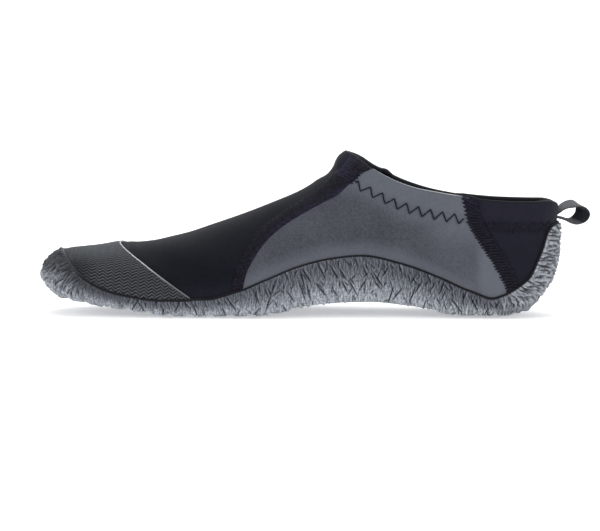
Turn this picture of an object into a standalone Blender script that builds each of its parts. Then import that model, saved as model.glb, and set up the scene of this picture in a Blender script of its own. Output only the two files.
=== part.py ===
"""Low-cut wetsuit bootie for the right foot: a neoprene sock on a moulded rubber cup sole.

Lengths in the tables are millimetres. A station is the distance from the toe tip towards the
heel, a height is the distance above the floor. The toe points to -X, the medial side to -Y.
"""

import math

import bmesh
import bpy
import numpy as np

MM = 0.001
WELD = 1e-6

# Driving sizes in millimetres
GAP = 0.4
CUP_GAP = 0.6
NOSE_STATION = 4.2
NOSE_HEIGHT = 23.0
HEEL_STATION = 277.2
TOE_ROUND = 44.0
TOE_DEPTH_ROUND = 14.0
TOE_POWER = 2.3
HEEL_ROUND = 34.0
HEEL_POWER = 2.3
LOWER_POWER = 3.2
LUG_HEIGHT = 1.3
SOLE_BASE = 3.2
NEOPRENE = 3.0
SKIVED_EDGE = 1.8
HEM_THICKNESS = 4.6
HEM_WIDTH = 13.0
RUBBER_WELT = 1.6
RUBBER_LIP = 1.5
LIP_WIDTH = 7.0
CAP_THICKNESS = 0.9
BAND_THICKNESS = 0.7
INSOLE_THICKNESS = 3.0
COLLAR_FRONT = 164.5
BUMPER_TOP = 12.4
CAP_BACK_TOP = 43.0
CAP_BACK_LOW = 80.0
SOLE_TO_SKIN = LUG_HEIGHT + SOLE_BASE + CUP_GAP

SIDES = {"medial": -1.0, "lateral": 1.0}

# Sections of the neoprene's outer face: spine is the middle line's Y, medial and lateral are the
# half widths from it, tread the sole's underside, widest the height of the widest point above the
# footbed, crest the top line, lip what the collar's front adds to it, fullness the power of the
# upper part's superellipse.
SECTION_COLUMNS = ("station", "spine", "medial", "lateral", "tread", "widest", "crest", "lip", "fullness")
SECTIONS = (
    (4.2, -11.0, 31.0, 33.0, 10.8, 8.0, 29.5, 0.0, 2.3),
    (15.0, -9.5, 33.5, 36.5, 8.2, 7.0, 32.8, 0.0, 2.3),
    (30.0, -7.0, 36.5, 40.5, 5.6, 7.0, 34.4, 0.0, 2.3),
    (50.0, -4.5, 40.5, 44.0, 2.6, 7.0, 37.3, 0.0, 2.25),
    (57.0, -3.8, 41.6, 45.0, 1.8, 7.0, 37.4, 0.0, 2.2),
    (72.0, -2.5, 43.6, 46.6, 0.0, 7.0, 40.8, 0.0, 2.15),
    (95.0, -1.0, 44.5, 48.3, 0.0, 7.0, 48.3, 0.0, 2.1),
    (116.0, 0.0, 43.0, 48.6, 0.0, 8.0, 56.0, 0.0, 2.0),
    (138.0, 1.2, 39.0, 46.0, 2.4, 12.0, 65.8, 0.0, 1.95),
    (151.0, 1.8, 36.6, 43.8, 4.0, 14.5, 72.6, 0.4, 1.95),
    (158.5, 2.0, 35.4, 42.4, 4.5, 16.0, 76.8, 5.6, 2.0),
    (164.5, 2.0, 34.6, 41.4, 4.9, 17.0, 80.2, 7.0, 2.05),
    (178.0, 1.8, 33.2, 39.0, 5.2, 17.0, 87.5, 6.0, 2.15),
    (200.0, 1.2, 32.0, 36.0, 3.2, 14.0, 97.0, 1.0, 2.3),
    (228.0, 0.3, 32.0, 33.6, 0.0, 10.0, 104.0, 0.0, 2.3),
    (256.0, 0.0, 32.4, 32.8, 0.0, 10.0, 104.0, 0.0, 2.3),
    (277.2, 0.0, 32.4, 32.4, 0.0, 10.0, 104.0, 0.0, 2.3),
)
LIP_POWER = 4

# How far the heel's back line lies from its rearmost station, by height
HEEL_CURVE_COLUMNS = ("height", "pull")
HEEL_CURVE = (
    (5.1, -22.0),
    (5.6, -18.6),
    (6.6, -15.4),
    (8.0, -12.8),
    (11.0, -9.4),
    (15.0, -6.2),
    (22.0, -2.6),
    (30.0, -0.6),
    (40.0, 0.3),
    (50.0, 0.6),
    (62.0, 1.2),
)
HEEL_CURVE_START = 226.0

# Height of the collar's edge, from its front peak to the heel
COLLAR_COLUMNS = ("station", "height")
COLLAR = (
    (164.5, 87.2),
    (171.0, 84.6),
    (177.5, 80.4),
    (189.0, 74.0),
    (200.5, 69.6),
    (213.0, 66.2),
    (226.5, 63.7),
    (234.0, 62.5),
    (250.0, 61.4),
    (263.0, 61.2),
    (277.2, 61.8),
)

# Top edge of the rubber cup on each side, from the bumper's top to the heel shield's top
RIM_COLUMNS = ("station", "medial", "lateral")
RIM = (
    (12.4, 31.9, 31.9),
    (15.8, 26.6, 26.6),
    (18.5, 22.0, 22.0),
    (25.0, 17.6, 17.6),
    (34.0, 13.4, 13.4),
    (47.0, 10.8, 10.8),
    (70.0, 8.8, 8.8),
    (91.0, 9.6, 9.2),
    (106.5, 12.6, 10.6),
    (121.0, 18.0, 13.6),
    (139.5, 26.0, 18.6),
    (156.0, 30.2, 22.0),
    (172.0, 32.0, 23.6),
    (194.0, 27.6, 21.0),
    (213.0, 20.8, 16.6),
    (229.5, 13.6, 12.0),
    (244.5, 9.8, 9.6),
    (256.0, 9.4, 9.4),
    (262.0, 11.2, 11.2),
    (267.0, 14.2, 14.2),
    (269.6, 18.0, 18.0),
    (271.2, 27.0, 27.0),
    (272.6, 34.0, 34.0),
    (274.6, 41.0, 41.0),
    (277.2, 48.6, 48.6),
)

# Edges of the raised band between vamp and quarter, from the sole up to the collar
FRONT_BAND_COLUMNS = ("vamp_station", "vamp_height", "quarter_station", "quarter_height")
FRONT_BAND = (
    (101.4, 12.2, 108.6, 14.6),
    (105.0, 25.0, 110.6, 23.0),
    (110.6, 36.0, 115.2, 31.8),
    (118.4, 46.0, 121.4, 39.6),
    (128.8, 54.0, 130.6, 48.0),
    (139.2, 61.0, 141.8, 54.8),
    (150.6, 68.2, 156.0, 62.8),
    (157.0, 75.6, 166.4, 70.4),
    (163.0, 82.4, 175.6, 78.4),
)

# Edges of the raised overlock band between quarter and heel panel, from the sole up
HEEL_BAND_COLUMNS = ("quarter_station", "quarter_height", "heel_station", "heel_height")
HEEL_BAND = (
    (258.0, 10.8, 262.6, 12.2),
    (249.0, 21.0, 255.8, 23.4),
    (242.0, 31.0, 249.0, 33.8),
    (235.6, 40.8, 242.4, 43.4),
    (230.4, 50.0, 237.4, 52.0),
    (227.6, 62.4, 234.6, 61.6),
)

# Chevron lugs under the forefoot and the heel
LUG_COLUMNS = ("first", "last", "count", "sweep")
LUG_ZONES = (
    (28.0, 124.0, 10, 7.0),
    (222.0, 252.0, 4, -6.0),
)
LUG_LENGTH = 6.6
LUG_REACH = 0.84
LUG_ROOT = 1.2
LUG_STEPS = 5

# Pull loop of webbing at the back of the collar
LOOP_REACH = 16.4
LOOP_HALF_HEIGHT = 6.1
LOOP_WIDTH = 10.0
LOOP_THICKNESS = 1.2
LOOP_HEIGHT = 55.6
LOOP_YAW = math.radians(40.0)
LOOP_MOUTH = math.radians(26.0)
LOOP_STEPS = 20

# Stations of the large grids as runs of start, end, steps and the end where they lie closer
UPPER_RUNS = (
    (NOSE_STATION, 58.0, 12, "start"),
    (58.0, 146.0, 8, ""),
    (146.0, COLLAR_FRONT, 6, ""),
    (COLLAR_FRONT, 200.0, 8, "start"),
    (200.0, 252.0, 5, ""),
    (252.0, HEEL_STATION, 9, "end"),
)
SOLE_RUNS = (
    (NOSE_STATION, BUMPER_TOP, 5, "start"),
    (BUMPER_TOP, 32.0, 9, "start"),
    (32.0, 252.0, 21, ""),
    (252.0, 269.0, 4, ""),
    (269.0, 273.0, 5, ""),
    (273.0, HEEL_STATION, 5, "end"),
)
CAP_RUNS = (
    (BUMPER_TOP + 0.8, CAP_BACK_TOP, 9, "start"),
    (CAP_BACK_TOP, CAP_BACK_LOW, 10, "both"),
)
UPPER_ROWS = 10
SOLE_ROWS = 9
BEND_LENGTH = 20.0
CAP_ROWS = 8
INSOLE_STEPS, INSOLE_ROWS = 20, 3


def curve_through(table, columns, name, at):
    """Smooth monotone curve through one column of a table, read at these values of its first column."""
    x = np.array([row[0] for row in table])
    y = np.array([row[columns.index(name)] for row in table])
    at = np.asarray(at, float)
    step = np.diff(x)
    slope = np.diff(y) / step
    tangent = np.concatenate([slope[:1], np.zeros(len(x) - 2), slope[-1:]])
    same_way = slope[:-1] * slope[1:] > 0
    weight_a = 2 * step[1:] + step[:-1]
    weight_b = step[1:] + 2 * step[:-1]
    safe = np.where(same_way, slope[:-1] * slope[1:], 1.0)
    blend = (weight_a + weight_b) * safe / (weight_a * slope[1:] + weight_b * slope[:-1] + ~same_way)
    tangent[1:-1] = np.where(same_way, blend, 0.0)
    i = np.clip(np.searchsorted(x, at, side="right") - 1, 0, len(x) - 2)
    u = np.clip((at - x[i]) / step[i], 0.0, 1.0)
    return (
        y[i] * (1 + 2 * u) * (1 - u) ** 2
        + y[i + 1] * u**2 * (3 - 2 * u)
        + step[i] * (tangent[i] * u * (1 - u) ** 2 - tangent[i + 1] * u**2 * (1 - u))
    )


def section(name, station):
    return curve_through(SECTIONS, SECTION_COLUMNS, name, station)


def round_off(distance, length, power):
    """0 at an end, 1 from this length inwards, along a superellipse."""
    d = np.clip(np.asarray(distance, float) / length, 0.0, 1.0)
    return (1 - (1 - d) ** power) ** (1 / power)


def smooth_step(value):
    u = np.clip(value, 0.0, 1.0)
    return u * u * (3 - 2 * u)


def half_width(side, station):
    toe = round_off(station - NOSE_STATION, TOE_ROUND, TOE_POWER)
    heel = round_off(HEEL_STATION - station, HEEL_ROUND, HEEL_POWER)
    return section(side, station) * toe * heel


def heights(station):
    """Heights of the section's lowest, widest and highest points. At the toe they close on the nose."""
    low = section("tread", station) + SOLE_TO_SKIN
    levels = (low, low + section("widest", station), section("crest", station))
    opened = round_off(station - NOSE_STATION, TOE_DEPTH_ROUND, TOE_POWER)
    return [NOSE_HEIGHT + (level - NOSE_HEIGHT) * opened for level in levels]


def heel_pull(station, height):
    share = smooth_step((station - HEEL_CURVE_START) / (HEEL_STATION - HEEL_CURVE_START))
    return share * curve_through(HEEL_CURVE, HEEL_CURVE_COLUMNS, "pull", height)


def skin(side, station, angle):
    """Points of the neoprene's outer face. The angle runs from -90 degrees under the foot to 90 at the crest."""
    station, angle = np.broadcast_arrays(np.asarray(station, float), np.asarray(angle, float))
    low, widest, crest = heights(station)
    power = np.where(angle < 0, LOWER_POWER, section("fullness", station))
    out = np.clip(np.cos(angle), 0.0, 1.0) ** (2 / power)
    up = np.abs(np.sin(angle)) ** (2 / power)
    above = up * (crest - widest) + section("lip", station) * up**LIP_POWER
    height = widest + np.where(angle < 0, up * (low - widest), above)
    across = section("spine", station) + SIDES[side] * half_width(side, station) * out
    return np.stack([station + heel_pull(station, height), across, height], axis=-1)


def station_under(place):
    """The station whose footbed lies at this place along the floor."""
    fine = np.linspace(NOSE_STATION, HEEL_STATION, 400)
    return np.interp(place, fine + heel_pull(fine, heights(fine)[0]), fine)


def angle_at(station, height):
    """The skin's angle at which a section reaches this height. The share of the upper part that
    gives the height is found with a few Newton steps, because the lip adds to it."""
    low, widest, crest = heights(station)
    lip = section("lip", station)
    rise = np.maximum(crest - widest, 1e-6)
    share = np.clip((height - widest) / (rise + lip), 0.0, 1.0)
    for _ in range(8):
        miss = share * rise + lip * share**LIP_POWER - (height - widest)
        share = np.clip(share - miss / (rise + LIP_POWER * lip * share ** (LIP_POWER - 1)), 0.0, 1.0)
    below = np.clip((widest - height) / np.maximum(widest - low, 1e-6), 0.0, 1.0)
    upper = np.arcsin(share ** (section("fullness", station) / 2))
    lower = -np.arcsin(below ** (LOWER_POWER / 2))
    return np.where(height >= widest, upper, lower)


def angle_at_reach(share):
    """The lower angle at which a section reaches this share of its half width."""
    return -np.arccos(np.clip(share, 0.0, 1.0) ** (LOWER_POWER / 2))


def spread(start, end, steps, ease=""):
    """Values from start to end, close together at the ends that ease names."""
    u = np.linspace(0.0, 1.0, steps + 1)
    if ease == "both":
        u = (1 - np.cos(np.pi * u)) / 2
    elif ease == "start":
        u = 1 - np.cos(np.pi / 2 * u)
    elif ease == "end":
        u = np.sin(np.pi / 2 * u)
    return start + (end - start) * u


def station_column(runs):
    """Stations through runs of (start, end, steps, ease), as a column for a grid."""
    lists = [spread(*run) for run in runs]
    return np.concatenate([lists[0][:1]] + [values[1:] for values in lists])[:, None]


def even_rows(side, stations, low, high, rows):
    """Angles that part each section's skin into rows of like length, closer where it bends."""
    fine = low + (high - low) * np.linspace(0.0, 1.0, 97)
    step = np.diff(skin(side, stations, fine), axis=1)
    length = np.linalg.norm(step, axis=-1)
    along = step / np.maximum(length, 1e-9)[..., None]
    bend = np.arccos(np.clip((along[:, 1:] * along[:, :-1]).sum(axis=-1), -1.0, 1.0))
    cost = length + 1e-6
    cost[:, 1:] += BEND_LENGTH * bend
    total = np.insert(np.cumsum(cost, axis=1), 0, 0.0, axis=1)
    share = np.linspace(0.0, 1.0, rows + 1)
    return np.array([np.interp(share * t[-1], t, angles) for t, angles in zip(total, fine)])


def open_surface(name, sheets, material):
    """One object from grids of points in millimetres, welded where they meet. Each sheet is
    (points, wall weights, whether its faces turn round); the weights go to a group named wall."""
    shape = bmesh.new()
    wall = shape.verts.layers.deform.verify()
    for points, weights, turned in sheets:
        grid = []
        for row, row_weights in zip(points, np.broadcast_to(weights, points.shape[:2])):
            verts = [shape.verts.new(point * MM) for point in row]
            for vert, weight in zip(verts, row_weights):
                vert[wall][0] = float(weight)
            grid.append(verts)
        for here, there in zip(grid, grid[1:]):
            for k in range(len(here) - 1):
                corners = (there[k], there[k + 1], here[k + 1], here[k])
                shape.faces.new((corners[2], corners[1], corners[0], corners[3]) if turned else corners)
    bmesh.ops.remove_doubles(shape, verts=shape.verts, dist=WELD)
    mesh = bpy.data.meshes.new(name)
    shape.to_mesh(mesh)
    shape.free()
    mesh.shade_smooth()
    mesh.materials.append(material)
    part = bpy.data.objects.new(name, mesh)
    part.vertex_groups.new(name="wall")
    return part


def thicken(part, thickness, outwards, gap=0.0):
    """Lifts an open surface off what lies under it by a gap, then gives it its wall."""
    if gap:
        lift = part.modifiers.new("gap", "DISPLACE")
        lift.strength = gap * MM
        lift.mid_level = 0.0
    wall = part.modifiers.new("wall", "SOLIDIFY")
    wall.thickness = thickness * MM
    wall.offset = 1.0 if outwards else -1.0
    wall.vertex_group = "wall"
    return part


def sheet_pair(grid_of, weights=1.0):
    """The medial and lateral sheets of a piece that spans both sides; grid_of(side) gives the points."""
    return [(grid_of(side), weights, side == "lateral") for side in SIDES]


def paint(name, colour, roughness):
    material = bpy.data.materials.new(name)
    material.use_nodes = True
    shader = material.node_tree.nodes["Principled BSDF"]
    shader.inputs["Base Color"].default_value = (*colour, 1.0)
    shader.inputs["Roughness"].default_value = roughness
    shader.inputs["Metallic"].default_value = 0.0
    return material


def upper_edges(station):
    """Angles of the upper's lower edge and of its top edge, the crest or the collar."""
    opening = 0.88 * round_off(station - 15.0, 24.0, 2.0)
    low = angle_at_reach(opening)
    high = angle_at(station, curve_through(COLLAR, COLLAR_COLUMNS, "height", station))
    return low, np.where(station <= COLLAR_FRONT, np.pi / 2, high)


def make_upper(material):
    stations = station_column(UPPER_RUNS)
    low, high = upper_edges(stations)
    points = {side: skin(side, stations, even_rows(side, stations, low, high, UPPER_ROWS)) for side in SIDES}
    collar_height = curve_through(COLLAR, COLLAR_COLUMNS, "height", stations)
    below_collar = collar_height - points["medial"][..., 2]
    hem = smooth_step((HEM_WIDTH + 1.5 - below_collar) / 3.0) * smooth_step((stations - 150.0) / 8.0)
    edge = smooth_step((points["medial"][..., 2] - heights(stations)[0] - 3.0) / 10.0)
    thickness = SKIVED_EDGE + (NEOPRENE - SKIVED_EDGE) * edge + (HEM_THICKNESS - NEOPRENE) * hem
    upper = open_surface("upper", sheet_pair(points.get, thickness / HEM_THICKNESS), material)
    return thicken(upper, HEM_THICKNESS, outwards=False)


def rim_height(side, station):
    return curve_through(RIM, RIM_COLUMNS, side, station)


def rim_angle(side, stations):
    over_toe = stations <= BUMPER_TOP
    return np.where(over_toe, np.pi / 2, angle_at(stations, rim_height(side, stations)))


def rubber_thickness(points, stations, angles, rim):
    """The cup's wall: thicker at the welt round the foot's edge, thinning to a lip along its rim."""
    above_bed = points[..., 2] - section("tread", stations) - SOLE_TO_SKIN
    at_edge = smooth_step((angles + np.radians(65.0)) / np.radians(35.0))
    body = SOLE_BASE + RUBBER_WELT * at_edge * np.exp(-(((above_bed - 2.0) / 4.5) ** 2))
    from_rim = np.linalg.norm(points[:, :, None] - rim, axis=-1).min(axis=-1)
    return RUBBER_LIP + (body - RUBBER_LIP) * smooth_step(0.15 + from_rim / LIP_WIDTH)


def make_cup(material):
    stations = station_column(SOLE_RUNS)
    angles = {
        side: even_rows(side, stations, -np.pi / 2, rim_angle(side, stations), SOLE_ROWS) for side in SIDES
    }
    grids = {side: skin(side, stations, angles[side]) for side in SIDES}
    rim = np.concatenate([grid[stations[:, 0] >= BUMPER_TOP, -1] for grid in grids.values()])
    most = SOLE_BASE + RUBBER_WELT
    sheets = []
    for side, grid in grids.items():
        thickness = rubber_thickness(grid, stations, angles[side], rim)
        sheets.append((grid, thickness / most, side == "lateral"))
    cup = open_surface("outsole", sheets, material)
    return thicken(cup, most, outwards=True, gap=CUP_GAP)


def make_lugs(material):
    """Chevron bars that stand out of the cup's underside, swept back in front and forward at the heel."""
    sheets = []
    reach = np.linspace(-1.0, 1.0, LUG_STEPS)
    side_of = ["medial" if share < 0 else "lateral" for share in reach]
    for first, last, count, sweep in LUG_ZONES:
        for middle in np.linspace(first, last, count):
            edges = []
            for shift in (-LUG_LENGTH / 2, LUG_LENGTH / 2):
                station = station_under(middle + shift + sweep * np.abs(reach))
                angle = angle_at_reach(LUG_REACH * np.abs(reach))
                top = np.array([skin(*place) for place in zip(side_of, station, angle)])
                top[:, 2] -= CUP_GAP + LUG_ROOT
                bottom = top.copy()
                bottom[:, 2] = section("tread", station)
                edges.append((bottom, top))
            (front_low, front_top), (back_low, back_top) = edges
            ring = np.stack([front_low, back_low, back_top, front_top, front_low], axis=1)
            sheets.append((ring, 1.0, True))
    lugs = open_surface("lug_bars", sheets, material)
    close_ends(lugs)
    return lugs


def close_ends(part):
    """Fills the open ends of bars."""
    shape = bmesh.new()
    shape.from_mesh(part.data)
    bmesh.ops.holes_fill(shape, edges=shape.edges, sides=4)
    bmesh.ops.recalc_face_normals(shape, faces=shape.faces)
    shape.to_mesh(part.data)
    shape.free()


def make_outsole(material, helpers):
    cup = make_cup(material)
    lugs = make_lugs(material)
    helpers.objects.link(lugs)
    lugs.hide_render = True
    lugs.display_type = "WIRE"
    join = cup.modifiers.new("lugs", "BOOLEAN")
    join.operation = "UNION"
    join.object = lugs
    return cup


def make_insole(material):
    first, last = 19.0, 272.5
    stations = spread(first, last, INSOLE_STEPS, "both")[:, None]
    share = 0.78 * round_off(stations - first, 24.0, 2.0) * round_off(last - stations, 20.0, 2.0)
    shares = share * np.linspace(0.0, 1.0, INSOLE_ROWS + 1)
    sheets = [(skin(side, stations, angle_at_reach(shares)), 1.0, side == "medial") for side in SIDES]
    insole = open_surface("insole", sheets, material)
    return thicken(insole, INSOLE_THICKNESS, outwards=True, gap=GAP)


def make_toe_cap(material):
    stations = station_column(CAP_RUNS)
    back_share = (stations - CAP_BACK_TOP) / (CAP_BACK_LOW - CAP_BACK_TOP)
    sheets = []
    for side in SIDES:
        low_height = rim_height(side, stations - 0.8) + 0.5
        top_height = heights(np.array(CAP_BACK_TOP))[2]
        back_height = top_height + (low_height[-1] - top_height) * back_share
        high = np.where(stations <= CAP_BACK_TOP, np.pi / 2, angle_at(stations, back_height))
        low = np.minimum(angle_at(stations, low_height), high)
        angles = even_rows(side, stations, low, high, CAP_ROWS)
        sheets.append((skin(side, stations, angles), 1.0, side == "lateral"))
    cap = open_surface("toe_cap", sheets, material)
    return thicken(cap, CAP_THICKNESS, outwards=True, gap=CUP_GAP)


def make_band(name, side, table, steps, material):
    """A raised band on the skin between the two edges that a table gives."""
    order = np.arange(len(table), dtype=float)
    rows = [(place, *row) for place, row in zip(order, table)]
    at = np.linspace(0.0, order[-1], steps + 1)
    columns = ("place", "station_a", "height_a", "station_b", "height_b")
    station_a, height_a, station_b, height_b = (
        curve_through(rows, columns, column, at)[:, None] for column in columns[1:]
    )
    across = np.linspace(0.0, 1.0, 3)
    station = station_a + (station_b - station_a) * across
    height = height_a + (height_b - height_a) * across
    points = skin(side, station, angle_at(station, height))
    band = open_surface(name, [(points, 1.0, side == "medial")], material)
    return thicken(band, BAND_THICKNESS, outwards=True, gap=GAP)


def make_pull_loop(material):
    turn = np.linspace(LOOP_MOUTH, 2 * np.pi - LOOP_MOUTH, LOOP_STEPS + 1)
    along = LOOP_REACH * (1 - np.cos(turn)) / 2
    along = (along - along[0]) * LOOP_REACH / (LOOP_REACH - along[0])
    rise = LOOP_HALF_HEIGHT * np.sin(turn) * (0.55 + 0.45 * np.sin(turn / 2))
    yaw = LOOP_YAW * along / LOOP_REACH
    across = np.linspace(-LOOP_WIDTH / 2, LOOP_WIDTH / 2, 3)
    root = skin("medial", HEEL_STATION, angle_at(HEEL_STATION, LOOP_HEIGHT))
    x = root[0] + GAP + LOOP_THICKNESS + (along * np.cos(yaw))[:, None] - across * np.sin(yaw)[:, None]
    y = root[1] + (along * np.sin(yaw))[:, None] + across * np.cos(yaw)[:, None]
    z = np.broadcast_to((LOOP_HEIGHT + rise)[:, None], x.shape)
    loop = open_surface("pull_loop", [(np.stack([x, y, z], axis=-1), 1.0, False)], material)
    return thicken(loop, LOOP_THICKNESS, outwards=True)


def stand_on_origin(root, parts):
    """Moves the root so that the middle of the parts' footprint is at the origin."""
    bpy.context.view_layer.update()
    graph = bpy.context.evaluated_depsgraph_get()
    corners = np.array([corner for part in parts for corner in part.evaluated_get(graph).bound_box])
    middle = (corners.min(axis=0) + corners.max(axis=0)) / 2
    root.location = (-middle[0], -middle[1], -corners[:, 2].min())


def main():
    for old in list(bpy.data.objects):
        bpy.data.objects.remove(old)
    bootie = bpy.data.collections.new("wetsuit_bootie")
    helpers = bpy.data.collections.new("helpers")
    for collection in (bootie, helpers):
        bpy.context.scene.collection.children.link(collection)

    neoprene = paint("neoprene_black", (0.020, 0.022, 0.027), 0.7)
    rubber = paint("rubber_grey", (0.15, 0.16, 0.18), 0.6)
    knurled = paint("rubber_toe_cap", (0.045, 0.05, 0.055), 0.55)
    thread = paint("seam_thread_black", (0.014, 0.013, 0.016), 0.8)
    foam = paint("foam_footbed", (0.03, 0.03, 0.033), 0.9)
    webbing = paint("webbing_grey", (0.10, 0.10, 0.105), 0.8)

    parts = [
        make_outsole(rubber, helpers),
        make_upper(neoprene),
        make_insole(foam),
        make_toe_cap(knurled),
        make_pull_loop(webbing),
    ]
    for side in SIDES:
        parts.append(make_band(f"front_seam_{side}", side, FRONT_BAND, 18, thread))
        parts.append(make_band(f"heel_seam_{side}", side, HEEL_BAND, 15, thread))

    root = bpy.data.objects.new("bootie_frame", None)
    bootie.objects.link(root)
    for part in parts:
        bootie.objects.link(part)
        part.parent = root
    for helper in helpers.objects:
        helper.parent = root
    stand_on_origin(root, parts)


main()
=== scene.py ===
# %% [markdown]
# A wetsuit bootie, worked out as surfaces
#
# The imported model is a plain, exact frame: nine solids with the right sizes. This lesson dresses
# it. Each soft or moulded piece is worked out again as a fine numpy grid from the same section
# tables that made the solids, so a new piece lands where its solid is with no fitting by eye.

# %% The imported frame
import math

import bpy
import numpy as np
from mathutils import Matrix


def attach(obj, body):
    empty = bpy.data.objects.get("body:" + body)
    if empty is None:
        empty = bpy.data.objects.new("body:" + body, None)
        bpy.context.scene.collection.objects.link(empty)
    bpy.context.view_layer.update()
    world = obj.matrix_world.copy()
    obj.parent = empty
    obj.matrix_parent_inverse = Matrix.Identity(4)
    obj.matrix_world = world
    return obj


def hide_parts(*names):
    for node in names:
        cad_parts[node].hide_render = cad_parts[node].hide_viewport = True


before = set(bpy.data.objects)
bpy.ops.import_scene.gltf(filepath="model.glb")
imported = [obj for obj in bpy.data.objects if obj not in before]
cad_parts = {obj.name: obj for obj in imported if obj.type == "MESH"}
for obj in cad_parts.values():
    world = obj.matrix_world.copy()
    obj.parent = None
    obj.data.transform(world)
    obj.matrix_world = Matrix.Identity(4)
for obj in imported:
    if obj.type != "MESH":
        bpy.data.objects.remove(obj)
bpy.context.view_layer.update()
print("solids in the frame:", sorted(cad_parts))

# %% [markdown]
# The sections of the foot
#
# A sock on a foot has no straight edges, so its outer face is described by cross sections. Each row
# of the table is one slice, and a smooth curve through a column gives the value at any place
# between. Lengths are millimetres, a station is the distance from the toe tip, and the toe points
# to -X with the medial side at -Y.

# %% Sizes and sections of the neoprene sock
MM = 0.001
FRAME_ORIGIN = np.array([148.265, 1.709, 0.0])
SIDES = {"medial": -1.0, "lateral": 1.0}
NOSE_STATION, NOSE_HEIGHT, HEEL_STATION = 4.2, 23.0, 277.2
TOE_ROUND, TOE_DEPTH_ROUND, TOE_POWER = 44.0, 14.0, 2.3
HEEL_ROUND, HEEL_POWER, HEEL_CURVE_START = 34.0, 2.3, 226.0
LOWER_POWER, LIP_POWER = 3.2, 4
LUG_HEIGHT, SOLE_BASE, CUP_GAP = 1.3, 3.2, 0.6
SOLE_TO_SKIN = LUG_HEIGHT + SOLE_BASE + CUP_GAP
COLLAR_FRONT, BUMPER_TOP = 164.5, 12.4
NEOPRENE, HEM_THICKNESS, HEM_WIDTH, ZIGZAG_PERIOD = 3.0, 4.6, 13.0, 6.5

SECTION_COLUMNS = ("station", "spine", "medial", "lateral", "tread", "widest", "crest", "lip", "fullness")
SECTIONS = (
    (4.2, -11.0, 31.0, 33.0, 10.8, 8.0, 29.5, 0.0, 2.3),
    (15.0, -9.5, 33.5, 36.5, 8.2, 7.0, 32.8, 0.0, 2.3),
    (30.0, -7.0, 36.5, 40.5, 5.6, 7.0, 34.4, 0.0, 2.3),
    (50.0, -4.5, 40.5, 44.0, 2.6, 7.0, 37.3, 0.0, 2.25),
    (57.0, -3.8, 41.6, 45.0, 1.8, 7.0, 37.4, 0.0, 2.2),
    (72.0, -2.5, 43.6, 46.6, 0.0, 7.0, 40.8, 0.0, 2.15),
    (95.0, -1.0, 44.5, 48.3, 0.0, 7.0, 48.3, 0.0, 2.1),
    (116.0, 0.0, 43.0, 48.6, 0.0, 8.0, 56.0, 0.0, 2.0),
    (138.0, 1.2, 39.0, 46.0, 2.4, 12.0, 65.8, 0.0, 1.95),
    (151.0, 1.8, 36.6, 43.8, 4.0, 14.5, 73.2, 0.3, 1.95),
    (157.0, 2.0, 35.6, 42.7, 4.4, 15.7, 76.6, 2.4, 2.0),
    (160.6, 2.0, 35.1, 42.0, 4.7, 16.4, 78.3, 6.4, 2.02),
    (164.5, 2.0, 34.6, 41.4, 4.9, 17.0, 80.2, 7.0, 2.05),
    (178.0, 1.8, 33.2, 39.0, 5.2, 17.0, 87.5, 6.0, 2.15),
    (200.0, 1.2, 32.0, 36.0, 3.2, 14.0, 97.0, 1.0, 2.3),
    (228.0, 0.3, 32.0, 33.6, 0.0, 10.0, 104.0, 0.0, 2.3),
    (256.0, 0.0, 32.4, 32.8, 0.0, 10.0, 104.0, 0.0, 2.3),
    (277.2, 0.0, 32.4, 32.4, 0.0, 10.0, 104.0, 0.0, 2.3),
)
HEEL_CURVE_COLUMNS = ("height", "pull")
HEEL_CURVE = (
    (5.1, -25.4), (5.6, -21.8), (6.6, -17.8), (8.0, -14.6), (11.0, -10.6), (15.0, -7.1),
    (22.0, -3.0), (30.0, -0.9), (40.0, 0.0), (50.0, 0.5), (62.0, 1.2),
)
print("foot length between toe and heel sections:", HEEL_STATION - NOSE_STATION, "mm")

# %% Curves through a table
def curve_through(table, columns, name, at):
    """Monotone cubic through one column of a table: between two rows it is the Hermite curve whose
    end slopes are the weighted harmonic means of the neighbouring slopes, so it never overshoots."""
    x = np.array([row[0] for row in table])
    y = np.array([row[columns.index(name)] for row in table])
    at = np.asarray(at, float)
    step = np.diff(x)
    slope = np.diff(y) / step
    tangent = np.concatenate([slope[:1], np.zeros(len(x) - 2), slope[-1:]])
    same_way = slope[:-1] * slope[1:] > 0
    weight_a = 2 * step[1:] + step[:-1]
    weight_b = step[1:] + 2 * step[:-1]
    safe = np.where(same_way, slope[:-1] * slope[1:], 1.0)
    mean = (weight_a + weight_b) * safe / (weight_a * slope[1:] + weight_b * slope[:-1] + ~same_way)
    tangent[1:-1] = np.where(same_way, mean, 0.0)
    i = np.clip(np.searchsorted(x, at, side="right") - 1, 0, len(x) - 2)
    u = np.clip((at - x[i]) / step[i], 0.0, 1.0)
    return (
        y[i] * (1 + 2 * u) * (1 - u) ** 2
        + y[i + 1] * u**2 * (3 - 2 * u)
        + step[i] * (tangent[i] * u * (1 - u) ** 2 - tangent[i + 1] * u**2 * (1 - u))
    )


def section(name, station):
    """One column of the section table at any station."""
    return curve_through(SECTIONS, SECTION_COLUMNS, name, station)


def smooth_step(value):
    """0 below 0, 1 above 1 and 3u^2 - 2u^3 between."""
    u = np.clip(value, 0.0, 1.0)
    return u * u * (3 - 2 * u)


def round_off(distance, length, power):
    """0 at an end and 1 from this length inwards, along a superellipse."""
    d = np.clip(np.asarray(distance, float) / length, 0.0, 1.0)
    return (1 - (1 - d) ** power) ** (1 / power)


print("half width at the ball of the foot:", float(section("medial", 95.0)), "mm medial")

# %% [markdown]
# The skin, and how to stand off it
#
# Every piece lies on the sock's outer face, so one function gives that face as points and one gives
# its outward direction. A piece is then a choice of stations and angles with a distance to stand
# off. The alternative, wrapping flat shapes with a Shrinkwrap modifier, would slide and stretch
# their edges.

# %% The skin and its outward direction
SLOPE_ALONG, SLOPE_UP = 0.05, 0.004


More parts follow.
